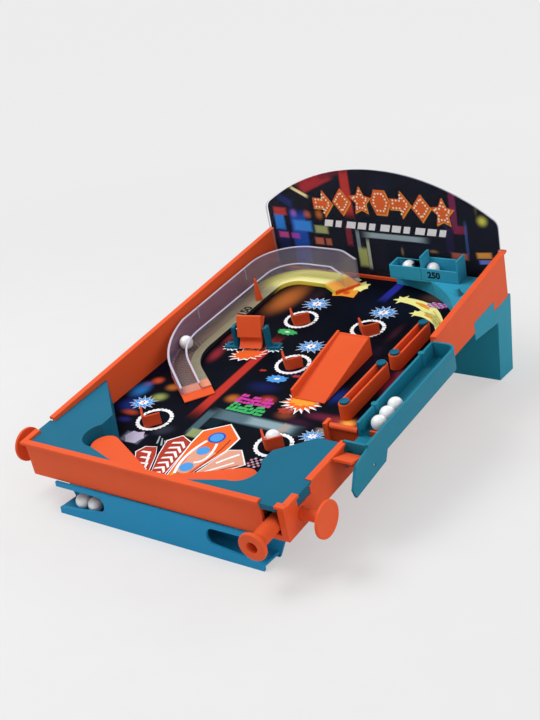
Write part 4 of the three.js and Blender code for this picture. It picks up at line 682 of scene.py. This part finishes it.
addNodePiece("clear_ramp", "_channel", points, faces, clearWall, uv=channelMap)


stripOuter = -half - ramp["rail"] - ramp["gap"]
stripInner, stripTop, skirt = stripOuter - ramp["strip"], clearFloor + ramp["floor"], 0.25


def stripMaterial():
    # printed film on the ramp: a salmon lip, tan with dark arrows at the entry, then pale yellow and amber to
    # the exit, greyer beside the lane, dark on its skirt; u runs along the lane, v across it, in millimetres
    material, tree, shader = newMaterial("printedRampFilm", **{"IOR": 1.5, "Roughness": 0.4})
    uv = addNode(tree, "UVMap", {"uv_map": "along"})
    parts = addNode(tree, "SeparateXYZ", None, {0: uv}).node
    along, across = parts.outputs[0], parts.outputs[1]
    grown = mapRange(tree, along, (60, 200))
    tan = mixColours(tree, grown, linear("#6e4e3a"), linear("#a89a72"))
    lean = mathNode(tree, "ABSOLUTE", across)
    arrow = mathNode(tree, "MULTIPLY_ADD", lean, 0.75, along)
    share = mathNode(tree, "DIVIDE", arrow, 4.4)
    saw = mathNode(tree, "FRACT", share)
    bars = mathNode(tree, "LESS_THAN", saw, 0.42)
    shown = mapRange(tree, along, (84, 96), (0.8, 0.0))
    mark = mathNode(tree, "MULTIPLY", bars, shown)
    barred = mixColours(tree, mark, tan, linear("#38241a"))
    sun = mapRange(tree, along, (182, 208), (0, 1), "SMOOTHSTEP")
    gold = mapRange(tree, across, (-15, -4))
    yellow = mixColours(tree, gold, linear("#fbf8b4"), linear("#f6ee7c"))
    beside = mathNode(tree, "LESS_THAN", across, stripOuter + 0.2)
    barred = mixColours(tree, mapRange(tree, beside, (0, 1), (0, 0.55)), barred, linear("#9a9c80"))
    leave = mapRange(tree, along, (laneRun[-1] - 26, laneRun[-1] - 14), (0, 1), "SMOOTHSTEP")
    yellow = mixColours(tree, leave, yellow, linear("#f0a43c"))
    lip = mapRange(tree, along, (11, 13), (1.0, 0.0))
    lit = mixColours(tree, lip, mixColours(tree, sun, barred, yellow), linear("#de8a6c"))
    below = mathNode(tree, "LESS_THAN", across, stripInner - 0.01)
    lit = mixColours(tree, below, lit, mixColours(tree, sun, linear("#1b1a22"), linear("#e8d44c")))
    place = addNode(tree, "TexCoord", output=3)
    wear = noiseNode(tree, place, 160, 4)
    tint = mixColours(tree, 0.16, lit, wear, "OVERLAY")
    driveShader(tree, shader, Base_Color=tint)
    return material


rampFilm = stripMaterial()


def addFilm(name, profile, nodes):
    points, faces = carryProfile(lane, profile)
    uv = np.stack([np.repeat(laneRun, len(profile)), np.tile(profile[:, 0], len(lane))], 1)
    addPiece(name, fromTray(points), faces, rampFilm, nodeSlot["ramp_strip"], "game", nodes, uv=uv)


addFilm("ramp_strip_film", softCorners([
    (stripInner - skirt, seat), (stripInner, seat), (stripInner, clearFloor), (stripOuter, clearFloor),
    (stripOuter, stripTop), (stripInner - skirt, stripTop),
], [0, 0, 0, 0, 0.2, 0.2], 2), ["ramp_strip"])
near, far, low, high = -half - 1.4, half + 1.2, rampFloor - 0.1, rampFloor + 0.15
addFilm("ramp_lane_print", np.array([(near, low), (far, low), (far, high), (near, high)]), [])
# Two thin upright ribs on the channel's outer wall, in the paler edge clear that paints a highlight down
# each.
for number, y in enumerate((216, 290), 1):
    top = clearFloor + ramp["fullHeight"] - 0.6
    wall = lane[:, 0].min() - half
    corners = [(wall - 0.05, -0.5), (wall - 0.05, 0.5), (wall + 0.5, 0.5), (wall + 0.5, -0.5)]
    rib = np.array([(x, y + dy, z) for z in (top - 11, top) for x, dy in corners])
    ribFaces = [[3, 2, 1, 0], [4, 5, 6, 7], [0, 1, 5, 4], [1, 2, 6, 5], [2, 3, 7, 6], [3, 0, 4, 7]]
    addPiece(f"clear_ramp_rib_{number}", fromTray(rib), ribFaces, edgeHighlightClear, nodeSlot["clear_ramp"])

# Post beside the ramp: a slim cone with a soft tip.
post = {"foot": stripTop + ramp["gap"], "height": 21, "radius": 3.4, "tip": 1, "share": 0.785}
postTop = post["foot"] + post["height"]
postLine = [(0, post["foot"]), (post["radius"], post["foot"]), (post["tip"], postTop), (0, postTop)]
postPlace = (inTray("ramp_post")[0], post["share"] * trayLength, 0)
points, faces = spinProfile(softCorners(postLine, [0, 0.4, 0.6, 0]), 32, postPlace, (0, 0, 1))
addNodePiece("ramp_post", "_cone", points, faces, orangePlastic)
print("side ramp made")

# Prints: flat shapes of ink on the board, each a thin closed slab; a higher layer lies over a lower one.
printLayer = {"step": 0.05, "first": 0.05, "sink": 0.06}
inkShapes = {name: [] for name in inks}


def inkOn(colour, outline, layer=0):
    inkShapes[colour].append((np.asarray(outline, float), layer))


def turnedBy(points, degrees):
    angle = math.radians(degrees)
    rotate = np.array([[math.cos(angle), math.sin(angle)], [-math.sin(angle), math.cos(angle)]])
    return np.asarray(points, float) @ rotate


def starburst(middle, outer, inner, spikes, squeeze=1.0, turnDegrees=0.0, seed=1):
    # radius steps between an inner and an outer value, each spike a little longer or shorter
    chance = np.random.default_rng(seed)
    angle = np.linspace(0, 2 * np.pi, 2 * spikes, endpoint=False)
    radius = np.where(np.arange(2 * spikes) % 2, inner, outer) * (1 + chance.uniform(-0.12, 0.12, 2 * spikes))
    points = np.stack([radius * np.cos(angle), radius * np.sin(angle) * squeeze], 1)
    return turnedBy(points, turnDegrees) + middle


def ringBand(middle, inner, outer, waves=0, wave=0.0, start=0, end=360, steps=120):
    # the area between two circles, cut open at one side; the outer one may be scalloped
    angle = np.radians(np.linspace(start, end, steps + 1))
    spoke = np.stack([np.cos(angle), np.sin(angle)], 1)
    edge = outer + wave * np.abs(np.sin(angle * waves / 2))[:, None]
    return np.concatenate([spoke * edge, (spoke * inner)[::-1]]) + middle


def bandAlong(points, widths):
    # a band about a line: half of its width to each side
    points, widths = np.asarray(points, float), np.asarray(widths, float)
    along = np.gradient(points, axis=0)
    along /= np.linalg.norm(along, axis=1, keepdims=True)
    side = np.stack([-along[:, 1], along[:, 0]], 1) * widths[:, None] / 2
    return np.concatenate([points + side, (points - side)[::-1]])


def bend(start, middle, end, steps=14):
    # a curve from start to end, drawn towards middle
    t = np.linspace(0, 1, steps + 1)[:, None]
    return (1 - t) ** 2 * np.array(start) + 2 * t * (1 - t) * np.array(middle) + t ** 2 * np.array(end)


# Blue bursts with a white heart, and the plain number for each.
bursts = [
    ((-36, 290), 14, "3"), ((31, 291), 14, "5"), ((-1, 223), 13.5, "4"), ((-90, 106), 12.5, "2"),
    ((71, 108), 10.5, "6"),
]
numbers = []
for index, (middle, size, digit) in enumerate(bursts):
    inkOn("white", starburst(middle, size * 0.99, size * 0.56, 13, 0.82, 6, index), 0)
    inkOn("sky", starburst(middle, size * 0.94, size * 0.5, 13, 0.8, 6, index), 1)
    inkOn("white", starburst(middle, size * 0.44, size * 0.24, 8, 0.86, 20, index + 9), 2)
    numbers.append((digit, middle, 4.6, "red", 3))
# Scalloped white rings round the pockets, broken by small grey dabs.
pocketShifts = [(-2, 3.5), (-4.5, 4.5), (-1.5, 1.5), (-0.5, 3.5), (0, 0)]
for index, middle in enumerate(np.add(pocketPlaces, pocketShifts)):
    inkOn("white", ringBand(middle, 12.2, 14.6, 26, 1.0, 2, 358), 0)
    for dab in (28, 104, 158):
        spot = middle + 13.4 * np.array([math.cos(math.radians(dab)), math.sin(math.radians(dab))])
        inkOn("grey", starburst(spot, 1.6, 0.8, 5, 0.8, dab, index), 1)
# Splashes: small flat ones, one with a white edge under the spinner, and a flame before the long ramp.
splashes = [
    # ink, middle, outer and inner radius, spikes, squeeze, turn in degrees, seed, layer
    ("sky", (-1, 170), 10.5, 8, 11, 0.56, 4, 3, 0), ("white", (-1, 170), 3.4, 1.8, 7, 0.5, 12, 4, 1),
    ("green", (-35, 239), 10.5, 8, 11, 0.5, -4, 5, 1), ("white", (-35, 239), 3.0, 1.6, 6, 0.5, 0, 6, 2),
    ("brick", (-20, 178), 4, 2.4, 6, 0.5, 10, 6, 0), ("brick", (13, 178), 5, 3, 6, 0.5, 10, 8, 0),
    ("white", (-48, 196.4), 17, 11.5, 13, 0.62, 20, 7, 0),
    ("orange", (-48, 197), 15.5, 10.4, 13, 0.6, 20, 7, 1),
    ("brick", (32.5, 132), 8, 5.5, 8, 0.7, 2, 20, 0),
    ("white", (38.5, 144.6), 17.5, 10.4, 17, 0.86, 2, 21, 0),
    ("orange", (38.5, 146.4), 15.6, 10, 17, 0.84, 2, 21, 1),
    ("amber", (38.5, 147.8), 13.4, 9.6, 13, 0.6, 2, 22, 2),
]
for ink, middle, *form, layer in splashes:
    inkOn(ink, starburst(middle, *form), layer)
# Teal spots with a white edge under the spinner's brackets.
for side, end in ((-1, "left"), (1, "right")):
    foot = inTray(f"spinner_bracket_{end}")[:2]
    inkOn("white", starburst(foot + (0, -2), 9.5, 5.5, 11, 0.8, 0, 11 + side), 0)
    inkOn("teal", starburst(foot + (0, -1), 8.6, 4.8, 11, 0.8, 0, 11 + side), 1)
# Two comets at the rear right, with a chequered patch between them.
comets = [((36, 316), (70, 316), (92, 276), (8, 12, 7), 8.5), ((60, 297), (78, 298), (92, 277), (8, 9, 6), 7)]
for head, pull, tail, widths, size in comets:
    tailLine = bend(head, pull, tail)
    width = np.interp(np.linspace(0, 1, 15), [0, 0.5, 1], widths)
    inkOn("yellow", bandAlong(tailLine, width), 0)
    inkOn("amber", bandAlong(tailLine[3:8], width[3:8] * (0.16, 0.3, 0.42, 0.3, 0.16)), 1)
    inkOn("gold", bandAlong(tailLine[8:-1] + (1, 1), np.linspace(0.8, 2.2, 6)), 1)
    inkOn("yellow", starburst(head, size, size * 0.5, 6, 0.9, 14, 3), 1)
for row in range(4):
    for column in range(7):
        corner = np.array([61.5 + 2.8 * column, 309.5 + 2.3 * row])
        if math.hypot((corner[0] - 70) / 10.5, (corner[1] - 313) / 5) < 1:
            tile = corner + turnedBy([(0, 0), (2.5, 0), (2.5, 2.0), (0, 2.0)], -8)
            inkOn("magenta" if (row + column) % 2 else "lilac", tile, 2)
# Pink and green scribbled blocks ahead of the middle.
chance = np.random.default_rng(5)
for ink, rows, low in (("magenta", 3, 130.5), ("green", 3, 118.6)):
    for row in range(rows):
        for column in range(9):
            left = np.array([-16.5 + 3.7 * column + 0.7 * row, low + 4.1 * row])
            if row == rows - 1 and column % 3 == 2:
                continue
            wide, high = chance.uniform(3.0, 4.4, 2)
            block = [(0, 0), (wide, 0.5), (wide - 0.3, high), (0.4, high - 0.5)]
            inkOn(ink, left + turnedBy(block, chance.uniform(-14, 14)), row % 2 + 1)
# Small lilac block and speckled spot beside the flippers.
inkOn("lilac", starburst((-65, 63), 9.5, 7.8, 6, 0.9, 8, 2), 0)
for row in range(5):
    for column in range(5):
        spot = np.array([43.4 + 2.3 * column, 60.6 + 2.3 * row])
        if (row + column) % 2 and math.hypot(*(spot - (48, 65.2))) < 6.4:
            inkOn("pink" if row % 2 else "lilac", spot + [(-1, -1), (1, -1), (1, 1), (-1, 1)], 1)
# Fan of tiles at the front: one pointed tile with discs and arcs, two arrowed ones and a paler one.
tiles = [
    # outline from the near left corner, ink, layer
    ([(-6, 27), (5.5, 27), (17.5, 70), (18, 87), (1, 101), (-15, 87), (-14, 70)], "orange", 3),
    ([(-19, 24), (-9, 24), (-14, 64), (-15, 71), (-27, 76.5), (-35, 67), (-30, 50)], "brick", 1),
    ([(-34, 25), (-22, 24), (-32, 48), (-38, 57.5), (-47, 55), (-50, 47)], "brick", 1),
    ([(10, 27), (16, 28), (36, 54), (41.5, 60.5), (29, 75), (20, 72), (17, 60)], "peach", 1),
]
for outline, ink, layer in tiles:
    outline = np.array(outline, float)
    inkOn("white", outline + (outline - outline.mean(0)) * (0.085, 0.04), layer - 1)
    inkOn(ink, outline, layer)
for foot, tip, count, wide in (((-15, 27), (-23, 71), 7, 7.2), ((-28, 27), (-42, 52), 4, 6.4)):
    foot, tip = np.array(foot, float), np.array(tip, float)
    lean = math.degrees(math.atan2(*(tip - foot)[::-1])) - 90
    for step in range(count):
        spot = foot + (tip - foot) * (step + 0.35) / count
        grow = 0.7 + 0.3 * step / count
        arrow = [(-wide, -3.2), (0, 0.6), (wide, -3.2), (wide, -1.0), (0, 3.4), (-wide, -1.0)]
        inkOn("white", turnedBy(np.array(arrow) * (grow, 1), -lean) + spot, 2)
inkOn("peach", [(-3, 33), (5, 33), (13, 66), (-7, 66)], 4)
inkOn("amber", [(-5, 27.5), (5, 27.5), (6, 36), (-5.5, 36)], 4)
discs = [("blue", 83, 7, 5), ("sky", 83, 5.4, 6), ("sky", 65, 5.2, 6), ("sky", 43.5, 5.4, 6)]
for ink, y, size, layer in discs:
    inkOn(ink, ringBand((1, y), 0.0, size, steps=40), layer)
arcs = [
    # ink, start, the point it bends towards, end, width, layer
    ("white", (-4, 77), (-12, 54), (-3, 34), 2.4, 6), ("white", (6, 76), (14, 54), (3, 50), 2.0, 6),
    ("brick", (13, 84), (15, 66), (8, 34), 1.2, 4), ("white", (20, 55), (27, 66), (31, 70), 2.0, 2),
    ("white", (17, 42), (26, 52), (33, 60), 1.6, 2), ("brick", (14, 34), (22, 44), (38, 58), 1.1, 2),
]
for ink, start, pull, end, width, layer in arcs:
    inkOn(ink, bandAlong(bend(start, pull, end), np.full(15, width)), layer)
dash = [(-0.8, -5), (0.8, -5), (0.5, 5), (-0.5, 5)]
for index in range(4):
    inkOn("grey", turnedBy(dash, 24 + 8 * index) + (-43 + 4.4 * index, 66 - 1.5 * index), 0)
print("board's shapes drawn")


def textMesh(words, size):
    # the outline of plain digits, as points about their middle and faces, made a mesh before it is placed
    curve = bpy.data.curves.new("digits", "FONT")
    curve.body, curve.size, curve.align_x, curve.align_y = words, size, "CENTER", "CENTER"
    curve.offset = size * 0.035
    made = bpy.data.objects.new("digits", curve)
    bpy.context.scene.collection.objects.link(made)
    mesh = bpy.data.meshes.new_from_object(made.evaluated_get(bpy.context.evaluated_depsgraph_get()))
    bpy.data.objects.remove(made)
    points = np.array([v.co[:2] for v in mesh.vertices])
    faces = [list(p.vertices) for p in mesh.polygons]
    bpy.data.meshes.remove(mesh)
    return points, faces


def raisedDigits(words, size, origin, right, up, out, lift):
    # the digits' flat faces, lifted off the surface, with walls down to it round their outer edges
    flat, faces = textMesh(words, size)
    right, up, out = (np.array(v, float) for v in (right, up, out))
    base = np.array(origin, float) + flat[:, :1] * right + flat[:, 1:] * up
    top = base + out * lift
    edges = {}
    for face in faces:
        for a, b in zip(face, face[1:] + face[:1]):
            edges[(a, b)] = edges.get((a, b), 0) + 1
    rim = [(a, b) for (a, b) in edges if (b, a) not in edges]
    count = len(flat)
    walls = [[a, b, b + count, a + count] for a, b in rim]
    bottoms = [face[::-1] for face in faces]
    tops = [[v + count for v in face] for face in faces]
    return np.concatenate([base, top]), walls + bottoms + tops


def addInk(name, colour, parts, slotName="printed_board"):
    # many small parts in one ink, joined into one piece
    points, faces, start = [], [], 0
    for partPoints, partFaces in parts:
        points.append(partPoints)
        faces += [[v + start for v in face] for face in partFaces]
        start += len(partPoints)
    addPiece(name, fromTray(np.concatenate(points)), faces, inks[colour], slotName)


def prism(low, high):
    # two like rings of points, joined by walls and closed by a face at either end
    count = len(low)
    walls = [[i, (i + 1) % count, (i + 1) % count + count, i + count] for i in range(count)]
    return np.concatenate([low, high]), walls + [list(range(count))[::-1], list(range(count, 2 * count))]


def slab(outline, layer):
    # an outline on the board with a flat top and a flat underside just inside the board
    top = printLayer["first"] + printLayer["step"] * layer
    low, high = (np.full((len(outline), 1), tray["boardTop"] + z) for z in (-printLayer["sink"], top))
    return prism(np.hstack([outline, low]), np.hstack([outline, high]))


numberParts, digitSink = {}, 0.02
for words, middle, size, colour, layer in numbers:
    high = tray["boardTop"] + printLayer["first"] + printLayer["step"] * (layer - 1)
    place, lift = (*middle, high - digitSink), printLayer["step"] + digitSink
    part = raisedDigits(words, size, place, (1, 0, 0), (0, 1, 0), (0, 0, 1), lift)
    numberParts.setdefault(colour, []).append(part)
for colour, shapes in inkShapes.items():
    parts = [slab(*shape) for shape in shapes] + numberParts.get(colour, [])
    if parts:
        addInk(f"board_print_{colour}", colour, parts)
# Numbers on the ramp's strip and on the right-hand cup.
stripMiddle, cupFront = lane[:, 0].min() - (stripInner + stripOuter) / 2, 329.6
addInk("ramp_number", "night", [raisedDigits(
    "150", 11, (stripMiddle, 255, stripTop - digitSink), (0, 1, 0), (-1, 0, 0), (0, 0, 1), 0.1,
)])
addInk("cup_number", "night", [raisedDigits(
    "250", 8, (62, cupFront + digitSink, -5.0), (1, 0, 0), (0, 0, 1), (0, -1, 0), 0.12,
)])
print("prints laid")

# Exit of the ramp: an amber patch with yellow tips and an orange ring, on the board past the strip's end.
exitShapes = [
    ("amber", starburst((-24, 322), 18, 14, 5, 1.0, 30, 31), 2),
    ("yellow", starburst((-13, 329), 9, 6, 7, 1.1, -10, 32), 3),
    ("yellow", starburst((-26, 338), 8, 6, 6, 0.7, 20, 33), 3),
    ("orange", ringBand((-20, 315), 1.8, 3.4, steps=30), 4),
]
for number, (colour, outline, layer) in enumerate(exitShapes):
    addInk(f"exit_patch_{number}", colour, [slab(outline, layer)])

# Backboard's motif: an arched row of plain shapes studded with small bulbs over a row of slanted dashes.
cardLayer = {"face": 350.4, "first": 0.05, "step": 0.05, "sink": 0.06}


def cardSlab(outline, layer):
    # an outline in the card's x and z, as a thin slab that stands off its front face
    x, z = np.asarray(outline, float).T
    near = cardLayer["face"] - cardLayer["first"] - cardLayer["step"] * layer
    depths = (cardLayer["face"] + cardLayer["sink"], near)
    return prism(*(np.stack([x, np.full(len(x), y), z], 1) for y in depths))


plates = [
    np.array([(-1, -0.4), (0.05, -0.4), (0.05, -1), (1, 0), (0.05, 1), (0.05, 0.4), (-1, 0.4)]),
    np.array([(-0.9, 0), (0, -1), (0.9, 0), (0, 1)]),
    starburst((0, 0), 1.05, 0.55, 5, 1, 90, 40),
    np.array([(-0.5, -0.9), (0.5, -0.9), (0.95, 0), (0.5, 0.9), (-0.5, 0.9), (-0.95, 0)]),
]
cardParts = {"orange": [], "amber": [], "cream": [], "white": []}
bulb = {"every": 3.2, "radius": 0.95, "inset": 0.7}
for index in range(7):
    x = -54 + 20 * index
    middle = np.array([x, 50 - 0.0016 * (x - 6) ** 2])
    outline = plates[index % 4] * (10.2, 12.8)
    cardParts["amber"].append(cardSlab(outline * 1.06 + middle + (0.6, -0.6), 0))
    cardParts["orange"].append(cardSlab(outline + middle, 1))
    corners = np.concatenate([outline, outline[:1]]) * bulb["inset"]
    run = np.concatenate([[0], np.cumsum(np.linalg.norm(np.diff(corners, axis=0), axis=1))])
    for place in np.arange(0, run[-1] - 1.2, bulb["every"]):
        spot = middle + [np.interp(place, run, corners[:, axis]) for axis in (0, 1)]
        cardParts["cream"].append(cardSlab(ringBand(spot, 0.0, bulb["radius"], steps=12)[:12], 2))
dashRow = {"count": 11, "first": -56, "every": 11.6, "low": 22, "high": 28.6, "lean": 2}
for index in range(dashRow["count"]):
    left = dashRow["first"] + dashRow["every"] * index
    right, lean = left + (8.6, 6.2, 9.2)[index % 3], dashRow["lean"]
    low, high = dashRow["low"], dashRow["high"]
    dash = [(left, low), (right, low), (right + lean, high), (left + lean, high)]
    cardParts["white"].append(cardSlab(dash, 0))
for colour, parts in cardParts.items():
    addInk(f"card_print_{colour}", colour, parts, "printed_card")
print("backboard motif laid")

# Floor, light and camera.
stage = {"reach": 14.0, "pale": "#eeeeee", "near": 0.25, "far": 1.1, "nearShare": 0.55, "farShare": 0.97}


def seenBy(tree, *rays):
    # 1 for a ray of any of the kinds, otherwise 0
    path = addNode(tree, "LightPath").node
    seen = path.outputs[f"Is {rays[0]} Ray"]
    for ray in rays[1:]:
        seen = mathNode(tree, "MAXIMUM", seen, path.outputs[f"Is {ray} Ray"])
    return seen


def paleFloor():
    # matt pale paper that keeps a soft shadow near the toy and runs out into the pale background
    tones = (linear("#dcdcdc"), linear("#e2e2e2"))
    material, tree, shader, tint = tonedSurface("mattPalePaper", {"Roughness": 0.9}, (30, 2), tones)
    glow = addNode(tree, "Emission", None, {"Color": linear(stage["pale"]), "Strength": 1.0})
    away = addNode(tree, "VectorMath", {"operation": "LENGTH"}, {0: addNode(tree, "TexCoord", output=3)}, 1)
    shares = (stage["nearShare"], stage["farShare"])
    even = mapRange(tree, away, (stage["near"], stage["far"]), shares, "SMOOTHSTEP")
    seen = seenBy(tree, "Camera", "Transmission")
    share = mathNode(tree, "MULTIPLY", seen, even)
    mixed = addNode(tree, "MixShader", None, {0: share, 1: shader.outputs[0], 2: glow})
    tree.links.new(mixed, tree.nodes["Material Output"].inputs["Surface"])
    return material


floorMesh = bpy.data.meshes.new("floor")
corners = np.array([(-1, -1, 0), (1, -1, 0), (1, 1, 0), (-1, 1, 0)]) * stage["reach"]
floorMesh.from_pydata(corners.tolist(), [], [(0, 1, 2, 3)])
floorMesh.materials.append(paleFloor())
floor = bpy.data.objects.new("floor", floorMesh)
bpy.context.scene.collection.objects.link(floor)

world = bpy.data.worlds.new("studio")
bpy.context.scene.world = world
world.use_nodes = True
tree = world.node_tree
tree.nodes.clear()
soft = addNode(tree, "Background", None, {"Color": linear("#ffffff"), "Strength": 0.4})
pale = addNode(tree, "Background", None, {"Color": linear(stage["pale"]), "Strength": 1.0})
seen = seenBy(tree, "Camera", "Glossy", "Transmission")
mixed = addNode(tree, "MixShader", None, {0: seen, 1: soft, 2: pale})
tree.links.new(mixed, tree.nodes.new("ShaderNodeOutputWorld").inputs["Surface"])

lamps = {
    "keyLamp": {"at": (-0.55, -0.35, 1.15), "size": 0.7, "power": 12},
    "fillLamp": {"at": (1.4, -0.4, 0.75), "size": 1.0, "power": 7.5},
    "rearLamp": {"at": (0.2, 1.1, 0.9), "size": 0.8, "power": 4.5},
}
for name, lamp in lamps.items():
    light = bpy.data.lights.new(name, "AREA")
    light.energy, light.size = lamp["power"], lamp["size"]
    made = bpy.data.objects.new(name, light)
    made.location = lamp["at"]
    made.rotation_euler = (Vector((0, 0, 0.05)) - Vector(lamp["at"])).to_track_quat("-Z", "Y").to_euler()
    bpy.context.scene.collection.objects.link(made)

view = {"eye": (0.5293, -0.7066, 0.4574), "aim": (-0.004, 0.0, 0.071), "rollDegrees": -7, "lens": 60.5}
back = (Vector(view["eye"]) - Vector(view["aim"])).normalized()
right = Vector((0, 0, 1)).cross(back).normalized()
up = back.cross(right)
roll = math.radians(view["rollDegrees"])
leanRight = math.cos(roll) * right + math.sin(roll) * up
leanUp = -math.sin(roll) * right + math.cos(roll) * up
camera = bpy.data.objects.new("camera", bpy.data.cameras.new("camera"))
camera.data.lens = view["lens"]
turn = Matrix((leanRight, leanUp, back)).transposed()
camera.matrix_world = Matrix.Translation(view["eye"]) @ turn.to_4x4()
bpy.context.scene.collection.objects.link(camera)
bpy.context.scene.camera = camera
bpy.context.scene.view_settings.view_transform = "Standard"
print("stage, lamps and camera set")
